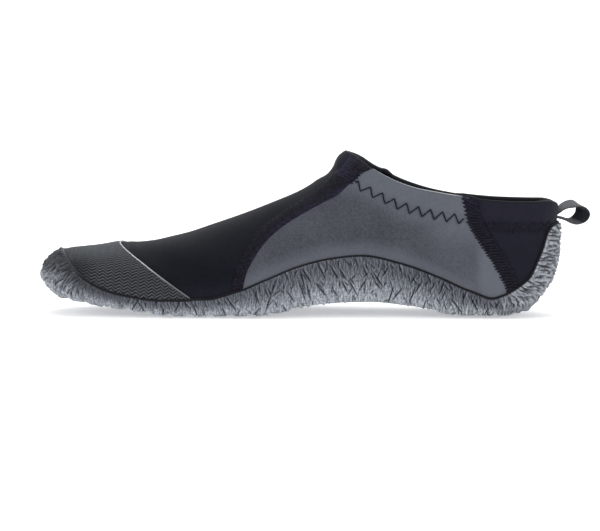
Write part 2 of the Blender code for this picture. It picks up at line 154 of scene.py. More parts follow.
def half_width(side, station):
    """Half width of a section: the table's value times a superellipse at the toe and one at the heel."""
    toe = round_off(station - NOSE_STATION, TOE_ROUND, TOE_POWER)
    heel = round_off(HEEL_STATION - station, HEEL_ROUND, HEEL_POWER)
    return section(side, station) * toe * heel


def heights(station):
    """Lowest, widest and highest level of a section; at the toe they close on the nose."""
    low = section("tread", station) + SOLE_TO_SKIN
    levels = (low, low + section("widest", station), section("crest", station))
    opened = round_off(station - NOSE_STATION, TOE_DEPTH_ROUND, TOE_POWER)
    return [NOSE_HEIGHT + (level - NOSE_HEIGHT) * opened for level in levels]


def heel_pull(station, height):
    """How far a point near the heel moves along the foot: the heel's curve at its height, times a
    smooth step from the station where that curve starts to the heel."""
    share = smooth_step((station - HEEL_CURVE_START) / (HEEL_STATION - HEEL_CURVE_START))
    return share * curve_through(HEEL_CURVE, HEEL_CURVE_COLUMNS, "pull", height)


def skin(side, station, angle):
    """Points of the sock's outer face: in each section a superellipse, cos^(2/p) across and
    sin^(2/p) up, with the angle from -90 degrees under the foot to 90 at the crest."""
    station, angle = np.broadcast_arrays(np.asarray(station, float), np.asarray(angle, float))
    low, widest, crest = heights(station)
    power = np.where(angle < 0, LOWER_POWER, section("fullness", station))
    out = np.clip(np.cos(angle), 0.0, 1.0) ** (2 / power)
    up = np.abs(np.sin(angle)) ** (2 / power)
    above = up * (crest - widest) + section("lip", station) * up**LIP_POWER
    height = widest + np.where(angle < 0, up * (low - widest), above)
    across = section("spine", station) + SIDES[side] * half_width(side, station) * out
    return np.stack([station + heel_pull(station, height), across, height], axis=-1)


def unit(vectors):
    """Each vector divided by its length."""
    return vectors / np.maximum(np.linalg.norm(vectors, axis=-1, keepdims=True), 1e-12)


def facing(side, station, angle):
    """Outward unit normal of the skin: the cross product of its slopes along the foot and up the
    side. On the middle line it has no sideways part, and at the nose it points forward."""
    station, angle = np.broadcast_arrays(np.asarray(station, float), np.asarray(angle, float))
    back = np.maximum(station - SLOPE_ALONG, NOSE_STATION)
    ahead = np.minimum(station + SLOPE_ALONG, HEEL_STATION)
    under, over = np.maximum(angle - SLOPE_UP, -np.pi / 2), np.minimum(angle + SLOPE_UP, np.pi / 2)
    along = skin(side, ahead, angle) - skin(side, back, angle)
    up = skin(side, station, over) - skin(side, station, under)
    normal = np.cross(along, up) * -SIDES[side]
    middle = (station >= HEEL_STATION - 1e-9) | (np.abs(angle) >= np.pi / 2 - 1e-9)
    normal[..., 1] = np.where(middle, 0.0, normal[..., 1])
    flat = np.linalg.norm(normal, axis=-1, keepdims=True) < 1e-9
    return unit(np.where(flat, np.array([-1.0, 0.0, 0.0]), normal))


def angle_at(station, height):
    """The angle at which a section reaches this height, the share of its rise found in a few
    Newton steps because the collar's lip adds to it."""
    low, widest, crest = heights(station)
    lip = section("lip", station)
    rise = np.maximum(crest - widest, 1e-6)
    share = np.clip((height - widest) / (rise + lip), 0.0, 1.0)
    for _ in range(8):
        miss = share * rise + lip * share**LIP_POWER - (height - widest)
        share = np.clip(share - miss / (rise + LIP_POWER * lip * share ** (LIP_POWER - 1)), 0.0, 1.0)
    below = np.clip((widest - height) / np.maximum(widest - low, 1e-6), 0.0, 1.0)
    upper = np.arcsin(share ** (section("fullness", station) / 2))
    return np.where(height >= widest, upper, -np.arcsin(below ** (LOWER_POWER / 2)))


print("crest above the ball:", np.round(skin("medial", 95.0, np.pi / 2), 1), "mm")

# %% Rows and columns for a grid
def spread(start, end, steps, ease=""):
    """Values from start to end, close together at the end that ease names."""
    u = np.linspace(0.0, 1.0, steps + 1)
    eased = {"start": 1 - np.cos(np.pi / 2 * u), "end": np.sin(np.pi / 2 * u)}
    return start + (end - start) * eased.get(ease, u)


def station_column(*runs):
    """Stations through runs of (start, end, steps, ease), as a column for a grid."""
    lists = [spread(*run) for run in runs]
    return np.concatenate([lists[0][:1]] + [values[1:] for values in lists])[:, None]


def even_rows(side, stations, low, high, rows):
    """Angles that part the skin between two angles into rows of equal length in each section."""
    fine = low + (high - low) * np.linspace(0.0, 1.0, 4 * rows + 1) + 0 * stations
    length = np.linalg.norm(np.diff(skin(side, stations, fine), axis=1), axis=-1) + 1e-9
    total = np.insert(np.cumsum(length, axis=1), 0, 0.0, axis=1)
    share = np.linspace(0.0, 1.0, rows + 1)
    return np.array([np.interp(share * t[-1], t, a) for t, a in zip(total, fine)])


print("eight rows up the side at the ball:", even_rows("medial", np.array([[95.0]]), 0.0, 1.5, 8).shape)

# %% [markdown]
# From grids to objects
#
# A grid of points becomes a mesh by joining neighbours into quads. Where two grids meet, or a grid
# closes on a pole, points coincide: those are welded, and a quad that lost a corner becomes a
# triangle. Numbers that a material needs, such as how deep a groove is, ride on the points.

# %% One function that makes a piece
WELD_DECIMALS = 4


def grid_quads(index):
    """The four corner numbers of every quad of a grid, in order round the quad."""
    return np.stack([index[:-1, :-1], index[1:, :-1], index[1:, 1:], index[:-1, 1:]], axis=-1)


def patch(points, turned=False, keep=None, flat=None, paint=0, **marks):
    """A grid of points (rows, columns, 3) in millimetres with what it carries: which quads to keep,
    flat coordinates for a pattern, a finish for each quad, and numbers by point."""
    return dict(points=points, turned=turned, keep=keep, flat=flat, paint=paint, marks=marks)


def piece(name, patches, finishes, stands_for=()):
    """Joins grids into one object. Corner k of a quad is its grid index; equal points share one
    vertex; a quad with two equal corners is a triangle; one with fewer than three is dropped."""
    points, corners, flats, paints, marks, base = [], [], [], [], {}, 0
    for grid in patches:
        rows, columns = grid["points"].shape[:2]
        quads = grid_quads(np.arange(rows * columns).reshape(rows, columns) + base)
        keep = np.ones(quads.shape[:2], bool) if grid["keep"] is None else grid["keep"]
        corners.append((quads[..., ::-1] if grid["turned"] else quads)[keep])
        paints.append(np.broadcast_to(grid["paint"], keep.shape)[keep])
        points.append(grid["points"].reshape(-1, 3))
        flat = np.zeros((rows, columns, 2)) if grid["flat"] is None else grid["flat"]
        flats.append(flat.reshape(-1, 2))
        for mark, values in grid["marks"].items():
            marks.setdefault(mark, []).append(np.broadcast_to(values, (rows, columns)).ravel())
        base += rows * columns
    points, corners, paints = np.concatenate(points), np.concatenate(corners), np.concatenate(paints)
    flats = np.concatenate(flats)
    rounded = np.round(points, WELD_DECIMALS)
    _, first, shared = np.unique(rounded, axis=0, return_index=True, return_inverse=True)
    welded = shared.ravel()[corners]
    same = welded == np.roll(welded, -1, axis=1)
    whole, three = ~same.any(axis=1), same.sum(axis=1) == 1
    faces = welded[whole].tolist() + welded[three][~same[three]].reshape(-1, 3).tolist()
    mesh = bpy.data.meshes.new(name)
    mesh.from_pydata((points[first] - FRAME_ORIGIN) * MM, [], faces)
    flat_corners = np.concatenate([corners[whole].ravel(), corners[three][~same[three]]])
    layer = mesh.uv_layers.new(name="flat")
    layer.data.foreach_set("uv", flats[flat_corners].astype(np.float32).ravel())
    for mark, values in marks.items():
        spot = mesh.attributes.new(mark, "FLOAT", "POINT")
        spot.data.foreach_set("value", np.concatenate(values)[first].astype(np.float32))
    for look in finishes:
        mesh.materials.append(look)
    finish_index = np.concatenate([paints[whole], paints[three]]).astype(np.int32)
    mesh.polygons.foreach_set("material_index", finish_index)
    mesh.shade_smooth()
    mesh.update()
    made = bpy.data.objects.new(name, mesh)
    bpy.context.scene.collection.objects.link(made)
    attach(made, "root")
    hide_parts(*stands_for)
    print(f"{name}: {sum(len(f) - 2 for f in faces)} triangles")
    return made


print("quads in a grid of 3 by 4 points:", grid_quads(np.arange(12).reshape(3, 4)).shape[:2])

# %% [markdown]
# Finishes: a few helpers
#
# Colours are picked as sRGB hex values, as a paint chart gives them, and turned to linear light by
# one function. One small function adds a node with its settings and links, so each material below
# reads as a list of what the eye sees.

# %% Colours and nodes
# Blender's wave texture repeats after 0.314 / scale
WAVE_REPEAT = 0.314


def linear(hex_colour):
    """sRGB hex to linear light: c / 12.92 below 0.04045, else ((c + 0.055) / 1.055) to the 2.4."""
    srgb = np.array([int(hex_colour[k:k + 2], 16) / 255 for k in (1, 3, 5)])
    value = np.where(srgb <= 0.04045, srgb / 12.92, ((srgb + 0.055) / 1.055) ** 2.4)
    return (*(float(v) for v in value), 1.0)


def add(tree, kind, inputs=None, **settings):
    """Adds a node: settings are its properties, inputs are values or sockets by input name."""
    made = tree.nodes.new(kind)
    for key, value in settings.items():
        setattr(made, key, value)
    for key, value in (inputs or {}).items():
        if isinstance(value, bpy.types.NodeSocket):
            tree.links.new(value, made.inputs[key])
        else:
            made.inputs[key].default_value = value
    return made


def finish(name, **constants):
    """A material with a Principled shader whose constant sockets are set on the shader itself."""
    material = bpy.data.materials.new(name)
    material.use_nodes = True
    shader = material.node_tree.nodes["Principled BSDF"]
    for key, value in constants.items():
        shader.inputs[key.replace("_", " ")].default_value = value
    return material, material.node_tree, shader


print("mid grey in linear light:", round(linear("#808080")[0], 3))

# %% [markdown]
# Rubber of the sole
#
# The sole is compression-moulded natural rubber, mid grey and satin, with a bark-like relief all
# round its side. The relief is real geometry below, so the material paints shade into the grooves,
# paints a highlight on the ridges and light from below on the lower edge, breaks the tone up with
# streaks and flecks, and adds the fine grain of a spark-eroded mould.

# %% Moulded natural rubber, satin
def moulded_rubber():
    """Matte ridges, dark grooves, fine streaks and flecks along the bark: a broad soft highlight and a
    strong texture. Coats lie over each other: streaked rubber, painted light from below, a painted
    highlight on the ridges, painted shade in the grooves."""
    material, tree, shader = finish(
        "moulded_natural_rubber_satin", Roughness=0.6, IOR=1.52, Specular_IOR_Level=0.3,
    )
    groove, ridge, low, laid = (
        add(tree, "ShaderNodeAttribute", attribute_name=name).outputs["Fac"]
        for name in ("groove", "ridge", "low", "laid")
    )
    place = add(tree, "ShaderNodeTexCoord").outputs["Object"]
    flat = add(tree, "ShaderNodeUVMap", uv_map="flat").outputs["UV"]
    # Streaks 0.8 mm wide and 5 mm long, upright along the side and lying down round the heel
    streaks = []
    for scale in ((1 / 0.8, 1 / 5.0, 1.0), (1 / 5.0, 1 / 0.8, 1.0)):
        way = add(tree, "ShaderNodeMapping", {"Vector": flat, "Scale": scale}).outputs["Vector"]
        streak = add(tree, "ShaderNodeTexNoise", {"Vector": way, "Scale": 1.0, "Detail": 3.0})
        streaks.append(streak.outputs["Fac"])
    turned = {"Factor": laid, "A": streaks[0], "B": streaks[1]}
    streak = add(tree, "ShaderNodeMix", turned).outputs["Result"]
    widened = {"Value": streak, "From Min": 0.3, "From Max": 0.7}
    sharp = add(tree, "ShaderNodeMapRange", widened).outputs["Result"]
    # Flecks of about 1.2 mm break the streaks, and break the painted light of the lower edge into patches
    fleck = add(tree, "ShaderNodeTexNoise", {"Vector": place, "Scale": 1 / 0.0012, "Detail": 2.0})
    widened = {"Value": fleck.outputs["Fac"], "From Min": 0.38, "From Max": 0.62}
    mottle = add(tree, "ShaderNodeMapRange", widened).outputs["Result"]
    broken = add(tree, "ShaderNodeMix", {"Factor": 0.35, "A": sharp, "B": mottle}).outputs["Result"]
    spread_out = {0: mottle, 1: 0.8, 2: 0.55}
    patchy = add(tree, "ShaderNodeMath", spread_out, operation="MULTIPLY_ADD").outputs[0]
    paleness = add(tree, "ShaderNodeMath", {0: low, 1: patchy}, operation="MULTIPLY", use_clamp=True).outputs[0]
    colour = linear("#1a1d24")
    # Coats: paleness is painted light from below, ridge a painted highlight, groove painted shade
    for factor, coat in ((broken, "#575c67"), (paleness, "#c4cad2"), (ridge, "#a6acb7"), (groove, "#0d0f12")):
        over = {"Factor": factor, "A": colour, "B": linear(coat)}
        colour = add(tree, "ShaderNodeMix", over, data_type="RGBA").outputs["Result"]
    tree.links.new(colour, shader.inputs["Base Color"])
    # Mould grain of about 0.35 mm, drawn at 0.6 mm so that it shows
    grain = add(tree, "ShaderNodeTexNoise", {"Vector": place, "Scale": 1 / 0.0006, "Detail": 2.0})
    rough = add(tree, "ShaderNodeMath", {0: grain.outputs["Fac"], 1: sharp}, operation="ADD").outputs[0]
    bump = add(tree, "ShaderNodeBump", {"Height": rough, "Strength": 0.35, "Distance": 0.0004})
    tree.links.new(bump.outputs["Normal"], shader.inputs["Normal"])
    return material


rubber = moulded_rubber()
print("made", rubber.name)

# %% [markdown]
# The sole's side, unrolled
#
# The bark is cut by hand into the mould as slashes that lean to and fro along the arch, fan out at
# the heel and sweep back round the toe. To place them evenly, the side is unrolled: one coordinate
# runs round the sole from the toe's middle, the other is the height above the floor.

# %% Unrolling the sole
TOE_CENTRE, TOE_RADIUS, HEEL_CENTRE, HEEL_RADIUS = 48.0, 44.0, 243.0, 34.0
SIDE_START = TOE_RADIUS * np.pi / 2
HALF_ROUND = SIDE_START + HEEL_CENTRE - TOE_CENTRE + HEEL_RADIUS * np.pi / 2


def unrolled(side, points, stations):
    """Distance round the sole from the toe's middle: an arc at the toe, straight along the side, an
    arc at the heel. The medial side counts up and the lateral side down."""
    x, across = points[..., 0], np.abs(points[..., 1] - section("spine", stations))
    toe = TOE_RADIUS * np.arctan2(across, np.maximum(TOE_CENTRE - x, 0.0))
    heel = HEEL_RADIUS * np.arctan2(np.maximum(x - HEEL_CENTRE, 0.0), across)
    run = np.where(x < TOE_CENTRE, toe, SIDE_START + np.clip(x, TOE_CENTRE, HEEL_CENTRE) - TOE_CENTRE + heel)
    return -SIDES[side] * run


def round_toe(run):
    """1 round the toe and 0 along the side: a smooth step that falls from 40 to 84 mm of the run."""
    return smooth_step((84.0 - run) / 44.0)


print("half way round the sole:", round(HALF_ROUND, 1), "mm")

# %% [markdown]
# Slashes as a pattern of cells
#
# A loop that draws slash after slash would be slow. Instead the unrolled side is parted into cells,
# each cell holds one slash with its own place, lean and length, and each point of the grid asks
# only the cells near it how deep it lies. The same function gives the long slashes, the short nicks
# and the fine fibres between them, from the rows of one small table.

# %% Slashes by cells
TOE_SWEEP, HEEL_SWEEP, CELL_ROWS = np.radians(62.0), np.radians(84.0), 32


def flow(around, height):
    """Lean of the slashes in radians from upright, positive away from the toe's middle. They sweep
    back round the toe, stand upright along the side and lie down round the back of the heel."""
    run = np.abs(around)
    higher = 0.35 + 0.65 * smooth_step((height - 9.0) / 14.0)
    toe = TOE_SWEEP * smooth_step((76.0 - run) / 48.0) * higher
    heel = HEEL_SWEEP * smooth_step((run - 262.0) / 24.0) * smooth_step((height - 1.0) / 10.0)
    return np.sign(around) * (toe - heel)


def slashes(around, height, spacing, rise, half_length, half_width_mm, lean, scatter, share, seed):
    """Depth from 0 to 1 and lip from 0 to 1 of the slash nearest to each point. Along a slash the
    depth tapers as 1 - t^2, across it as a Gaussian; the lip is a lower Gaussian beside it."""
    count = round(2 * HALF_ROUND / spacing)
    cell = 2 * HALF_ROUND / count
    chance = np.random.default_rng(seed).random((count, CELL_ROWS, 6))
    column, row = np.floor(around / cell).astype(int), np.floor(height / rise).astype(int)
    depth, lip = np.zeros(around.shape), np.zeros(around.shape)
    for beside in range(-3, 4):
        for above in (-1, 0, 1):
            i, j = column + beside, row + above
            luck = chance[i % count, j % CELL_ROWS]
            middle = (i + 0.15 + 0.7 * luck[..., 0]) * cell
            level = (j + 0.15 + 0.7 * luck[..., 1]) * rise
            to_heel = luck[..., 5] < 0.2 + 0.28 * smooth_step((np.abs(middle) - 185.0) / 25.0)
            turn = flow(middle, level) + np.radians(lean) * np.sign(middle) * np.where(to_heel, 1.0, -1.0)
            turn = turn + np.radians(scatter) * (2 * luck[..., 2] - 1)
            aside, up = around - middle, height - level
            along = aside * np.sin(turn) + up * np.cos(turn)
            across = aside * np.cos(turn) - up * np.sin(turn)
            taper = np.clip(1 - (along / (half_length * (0.6 + 0.7 * luck[..., 3]))) ** 2, 0.0, 1.0)
            taper = np.where(luck[..., 4] < share, taper, 0.0)
            width = half_width_mm * (0.45 + 0.55 * taper)
            depth = np.maximum(depth, np.sqrt(taper) * np.exp(-((across / width) ** 2)))
            lip = np.maximum(lip, taper * np.exp(-(((across - 2.6 * width) / (1.7 * width)) ** 2)))
    return depth, lip


# spacing, rise, half length, half width, lean, scatter, share, seed, groove and lip in millimetres,
# and where a kind grows: along the side, everywhere, in tufts round toe and heel, or combed behind
# the heel
BARK = (
    (5.8, 9.5, 5.0, 0.34, 27.0, 13.0, 0.80, 11, 0.95, 0.30, "side"),
    (3.5, 5.2, 2.4, 0.28, 24.0, 24.0, 0.62, 23, 0.75, 0.24, "side"),
    (1.15, 4.0, 3.0, 0.25, 7.0, 20.0, 0.95, 37, 0.28, 0.18, "all"),
    (1.9, 4.2, 3.5, 0.36, 8.0, 22.0, 0.90, 51, 0.85, 0.66, "tufts"),
    (6.0, 1.85, 4.6, 0.40, 3.0, 10.0, 0.95, 67, 1.05, 0.80, "combed"),
)
print("kinds of slashes in the bark:", len(BARK))

# %% [markdown]
# The cup sole
#
# The sole is one moulding that wraps the toe, climbs at the arch and stands up behind the heel. Its
# outer face is the skin stood off by the wall's thickness: thick at the welt, thin at the lip. Each
# side of the wall is one fine grid from the sole's lower corner up to the lip, since only the wall
# carries the bark. The two grids share their points over the toe, under the nose and behind the
# heel, so the wall goes round without a gap.

# %% Edges of the cup
RIM_COLUMNS = ("station", "medial", "lateral")
RIM = (
    (12.4, 31.9, 31.9), (14.2, 30.2, 30.2), (17.0, 27.2, 27.2), (20.5, 23.8, 23.8),
    (25.0, 20.0, 20.0), (34.0, 15.4, 15.4), (47.0, 12.2, 12.2), (70.0, 9.6, 9.4),
    (91.0, 9.8, 9.2), (106.5, 13.2, 10.6), (121.0, 19.0, 13.6), (139.5, 26.4, 18.6),
    (156.0, 30.4, 22.0), (172.0, 32.0, 23.6), (194.0, 27.6, 21.0), (213.0, 20.8, 16.6),
    (229.5, 13.8, 12.2), (244.5, 10.4, 10.2), (252.0, 11.8, 11.8), (257.0, 14.2, 14.2),
    (261.0, 17.4, 17.4), (264.4, 22.0, 22.0), (266.2, 29.0, 29.0), (268.8, 37.0, 37.0),
    (270.6, 44.4, 44.4), (273.2, 48.0, 48.0), (277.2, 49.4, 49.4),
)
RUBBER_WELT, WELT_LEVEL, WELT_SPREAD = 1.6, 2.0, 4.5
RUBBER_LIP, LIP_WIDTH, LIP_FADE = 1.5, 7.0, 1.6
sole_stations = station_column(
    (NOSE_STATION, BUMPER_TOP, 44, "start"), (BUMPER_TOP, 32.0, 84, "start"), (32.0, 250.0, 740, ""),
    (250.0, 264.0, 64, ""), (264.0, HEEL_STATION, 90, "end"),
)


def rim_angle(side, stations):
    """Angle of the cup's top edge; in front of the bumper's top the cup closes over the toe."""
    at_rim = angle_at(stations, curve_through(RIM, RIM_COLUMNS, side, stations))
    return np.where(stations <= BUMPER_TOP, np.pi / 2, at_rim)


def edge_way(side, path, normals):
    """Direction that leaves a sheet across its edge: normal times tangent. An end on the middle
    line stays in the middle plane."""
    tangent = np.gradient(path, axis=0)
    way = np.cross(normals, tangent) * -SIDES[side]
    way[[0, -1], 1] = 0.0
    return unit(way)


print("points on the rim's curve:", len(RIM))

# %% The wall's thickness and the chevron lugs
# first and last bar's station, bars, sweep
LUG_ZONES = ((28.0, 124.0, 10, 7.0), (222.0, 252.0, 4, -6.0))
LUG_LENGTH, LUG_REACH = 6.6, 0.84


def rubber_thickness(points, stations, angles, rim):
    """Base thickness, plus the welt as a Gaussian of the height above the footbed, blended to the
    lip's thickness near the rim and thinned round the toe and the heel."""
    above_bed = points[..., 2] - section("tread", stations) - SOLE_TO_SKIN
    at_edge = smooth_step((angles + np.radians(65.0)) / np.radians(35.0))
    at_edge = np.maximum(at_edge, smooth_step((16.0 - stations) / 9.0))
    thin = 0.45 * smooth_step((stations - 248.0) / 18.0) + 0.4 * smooth_step((18.0 - stations) / 10.0)
    body = SOLE_BASE + RUBBER_WELT * at_edge * np.exp(-(((above_bed - WELT_LEVEL) / WELT_SPREAD) ** 2))
    body = body * (1 - thin * at_edge)
    near = np.full(points.shape[:2], 1e9)
    for spot in rim[::6]:
        near = np.minimum(near, np.linalg.norm(points - spot, axis=-1))
    return RUBBER_LIP + (body - RUBBER_LIP) * smooth_step(0.15 + near / LIP_WIDTH)


def lugs(side, points, stations):
    """1 on a chevron bar and 0 between: a bar is where the place along the foot, less the sweep,
    is within half a bar of its nearest middle."""
    share = np.abs(points[..., 1] - section("spine", stations)) / np.maximum(half_width(side, stations), 1e-6)
    bar = np.zeros(points.shape[:2])
    for first, last, count, sweep in LUG_ZONES:
        pitch = (last - first) / (count - 1)
        place = points[..., 0] - sweep * share - first + pitch / 2
        inside = (place > 0) & (place < pitch * count)
        off = np.abs(np.mod(place, pitch) - pitch / 2)
        bar = np.maximum(bar, np.where(inside, smooth_step((LUG_LENGTH / 2 + 0.35 - off) / 0.7), 0.0))
    return bar * smooth_step((LUG_REACH - share) / 0.03) * (points[..., 2] < section("tread", stations) + 9.0)


print("chevron bars:", sum(count for *_, count, _ in LUG_ZONES))

# %% Relief of the bark
WALL_ROWS = 84
CORNER = np.radians(-58.0)
NOSE_WRAP, FRINGE_PITCH = 8.0, 3.3


def corner_angle(stations):
    """Angle of the wall's lower edge: the corner of the sole, running out to the middle line, -90
    degrees, under the nose so that the bark wraps it."""
    return CORNER - (np.pi / 2 + CORNER) * smooth_step((20.0 - stations) / 12.0)


def bark(around, height):
    """All kinds of slashes together: relief in millimetres, and groove and ridge from 0 to 1, which
    become painted shade in the grooves and a painted highlight on the ridges. Each kind is weighted by
    where it grows, and the painted shade of a groove is darker the deeper its kind is cut."""
    relief, groove, ridge = (np.zeros(around.shape) for _ in range(3))
    run = np.abs(around)
    shag = np.maximum(smooth_step((70.0 - run) / 40.0), smooth_step((run - 258.0) / 20.0))
    combed = smooth_step((run - 264.0) / 18.0) * smooth_step((height - 10.0) / 6.0)
    zones = {"all": 1.0, "side": 1.0 - 0.75 * shag, "tufts": shag * (1.0 - combed), "combed": combed}
    for *pattern, cut, raised, grows in BARK:
        depth, lip = (zones[grows] * mark for mark in slashes(around, height, *pattern))
        relief = relief + raised * lip * (1 - depth) - cut * depth
        groove = np.maximum(groove, np.clip((0.3 + 1.1 * cut) * depth, 0.0, 1.0))
        ridge = np.maximum(ridge, lip * min(1.0, 1.7 * raised))
    # The painted highlight on the ridges is halved round the toe
    return relief, groove, ridge * (1 - groove) * (1 - 0.5 * round_toe(run))


def fringe(around):
    """Teeth along the lower edge, 0 to 1: a sine of one pitch whose phase and height wander."""
    wave = 0.5 + 0.5 * np.sin(2 * np.pi * around / FRINGE_PITCH + 1.9 * np.sin(around / 4.1))
    return wave * (0.65 + 0.35 * np.sin(around / 1.7))


print("rows up the wall:", WALL_ROWS)

# %% Painted light and shade on the wall
def wall_tone(groove, run, height):
    """Groove and paleness of the wall, 0 to 1, that is painted shade and painted light from below. The
    painted light fades with a power of the share climbed up the wall and also covers the back of the
    heel. Painted shade gathers under the lip, most of all round the toe, and the painted shade of the
    grooves is darker in front of the heel."""
    climbed = (height - height[:, :1]) / np.maximum(height[:, -1:] - height[:, :1], 1.0)
    behind = smooth_step((run - 258.0) / 24.0)
    paleness = np.maximum((1 - np.clip(climbed, 0.0, 1.0)) ** 2.2, 0.66 * behind)
    shade = 0.22 + 0.45 * round_toe(run) - 0.18 * smooth_step((run - 262.0) / 20.0)
    shade = shade * smooth_step((climbed - 0.3) / 0.6)
    darker = 1 + 0.35 * smooth_step((run - 215.0) / 25.0) * smooth_step((276.0 - run) / 14.0)
    return np.maximum(np.minimum(groove * darker, 1.0), shade), paleness


print("rings round the wall:", len(sole_stations))

# %% The wall of the cup, one grid a side
# The lip's roll in three rows: share of the wall's thickness, and rise past the edge in millimetres
LIP_ROLL = ((0.82, 0.35), (0.45, 0.5), (-0.25, 0.45))


def cup_side(side):
    """One side of the wall: skin plus normal times (gap + wall + bark), then three rows that roll
    the lip over into the neoprene. With it go the unrolled map and the marks for the finish."""
    rim = rim_angle(side, sole_stations)
    corner = corner_angle(sole_stations)
    angles = even_rows(side, sole_stations, np.minimum(corner, rim), rim, WALL_ROWS)
    base, normal = skin(side, sole_stations, angles), facing(side, sole_stations, angles)
    open_rim = base[sole_stations[:, 0] >= BUMPER_TOP, -1]
    wall = CUP_GAP + rubber_thickness(base, sole_stations, angles, open_rim)
    outer = base + normal * wall[..., None]
    around, height = unrolled(side, outer, sole_stations), outer[..., 2]
    relief, groove, ridge = bark(around, height)
    under_nose = smooth_step((14.0 - sole_stations) / 5.0)
    side_face = smooth_step((angles - corner) / np.radians(6.0) + under_nose)
    from_lip = np.linalg.norm(base - base[:, -1:], axis=-1) / LIP_FADE
    off_lip = smooth_step(from_lip + (sole_stations < BUMPER_TOP))
    bars = lugs(side, base, sole_stations)
    teeth = fringe(around) * side_face * smooth_step((np.radians(-26.0) - angles) / np.radians(16.0))
    nose = smooth_step((sole_stations - NOSE_STATION) / 0.8)
    wall = wall + relief * nose * side_face * (0.2 + 0.8 * off_lip)
    wall = wall + LUG_HEIGHT * np.maximum(bars, 0.9 * teeth)
    outer = base + normal * wall[..., None]
    way = edge_way(side, base[:, -1], normal[:, -1])
    folds = [
        base[:, -1] + normal[:, -1] * (wall[:, -1] * share)[:, None] + way * rise
        for share, rise in LIP_ROLL
    ]
    points = np.concatenate([outer, np.stack(folds, axis=1)], axis=1)
    # low carries the painted light from below, and groove the painted shade
    groove, low = wall_tone(groove, np.abs(around), height)
    laid = np.abs(np.sin(flow(around, height)))
    marks = (groove * side_face, ridge * side_face, low, laid, around, height)
    pad = ((0, 0), (0, len(folds)))
    return (points, *(np.pad(mark, pad, mode="edge") for mark in marks))


halves = {side: cup_side(side) for side in SIDES}
closed = sole_stations[:, 0] <= BUMPER_TOP
wrapped = sole_stations[:, 0] <= NOSE_WRAP
for medial, lateral in zip(halves["medial"][:4], halves["lateral"][:4]):
    lateral[-1] = medial[-1]
    lateral[closed, WALL_ROWS:] = medial[closed, WALL_ROWS:]
    lateral[wrapped, 0] = medial[wrapped, 0]
in_front = sole_stations[:-1] < BUMPER_TOP - 1e-6
whole = ~(in_front & (np.arange(WALL_ROWS + len(LIP_ROLL)) >= WALL_ROWS))
for side, (points, groove, ridge, low, laid, around, height) in halves.items():
    grid = patch(
        points, turned=side == "lateral", keep=whole, flat=np.stack([around, height], axis=-1),
        groove=groove, ridge=ridge, low=low, laid=laid,
    )
    piece(f"cup_wall_{side}", [grid], [rubber], ["outsole"])

# %% [markdown]
# The tread
#
# Under the foot the same moulding carries chevron bars that grip wet rock. Nothing of it shows in
# the photograph, so it follows the solid: bars swept back under the forefoot and forward under the
# heel, on a coarser grid that ends just inside the wall's lower edge.

# %% The tread under the cup
TREAD_FRONT, TREAD_TUCK, TREAD_ROWS = 7.6, 0.08, 26
tread_stations = station_column(
    (TREAD_FRONT, 26.0, 24, ""), (26.0, 130.0, 170, ""), (130.0, 215.0, 40, ""),
    (215.0, 258.0, 80, ""), (258.0, HEEL_STATION, 24, "end"),
)


def tread_side(side):
    """Skin's underside plus normal times (gap + base + bars), tucked in a little under the wall."""
    corner = corner_angle(tread_stations)
    angles = even_rows(side, tread_stations, -np.pi / 2, corner + np.radians(3.0), TREAD_ROWS)
    base = skin(side, tread_stations, angles)
    thinned = 1 - 0.4 * smooth_step((18.0 - tread_stations) / 10.0)
    wall = CUP_GAP + SOLE_BASE * thinned + LUG_HEIGHT * lugs(side, base, tread_stations)
    tucked = TREAD_TUCK * smooth_step((angles - corner + np.radians(4.0)) / np.radians(6.0))
    return base + facing(side, tread_stations, angles) * (wall - tucked)[..., None]


treads = {side: tread_side(side) for side in SIDES}
treads["lateral"][:, 0] = treads["medial"][:, 0]
treads["lateral"][-1] = treads["medial"][-1]
# The tread gets a little painted shade and half of the painted light from below
piece(
    "chevron_tread",
    [patch(p, turned=side == "lateral", flat=p[..., :2], groove=0.1, ridge=0.0, low=0.5, laid=0.0)
     for side, p in treads.items()],
    [rubber], ["outsole"],
)

# %% [markdown]
# Neoprene with a knit face
#
# Wetsuit neoprene is foamed rubber with a thin nylon jersey glued on. The eye gets a matte cloth
# with a soft bloom at grazing angles, and rows of tiny loops. The loops are about 0.6 mm apart,
# finer than a pixel here, so they are drawn 1.3 mm apart in rows of 1 mm.

# %% Nylon jersey on neoprene, black and grey
WALE_GAP, COURSE_GAP = 1.3, 1.0


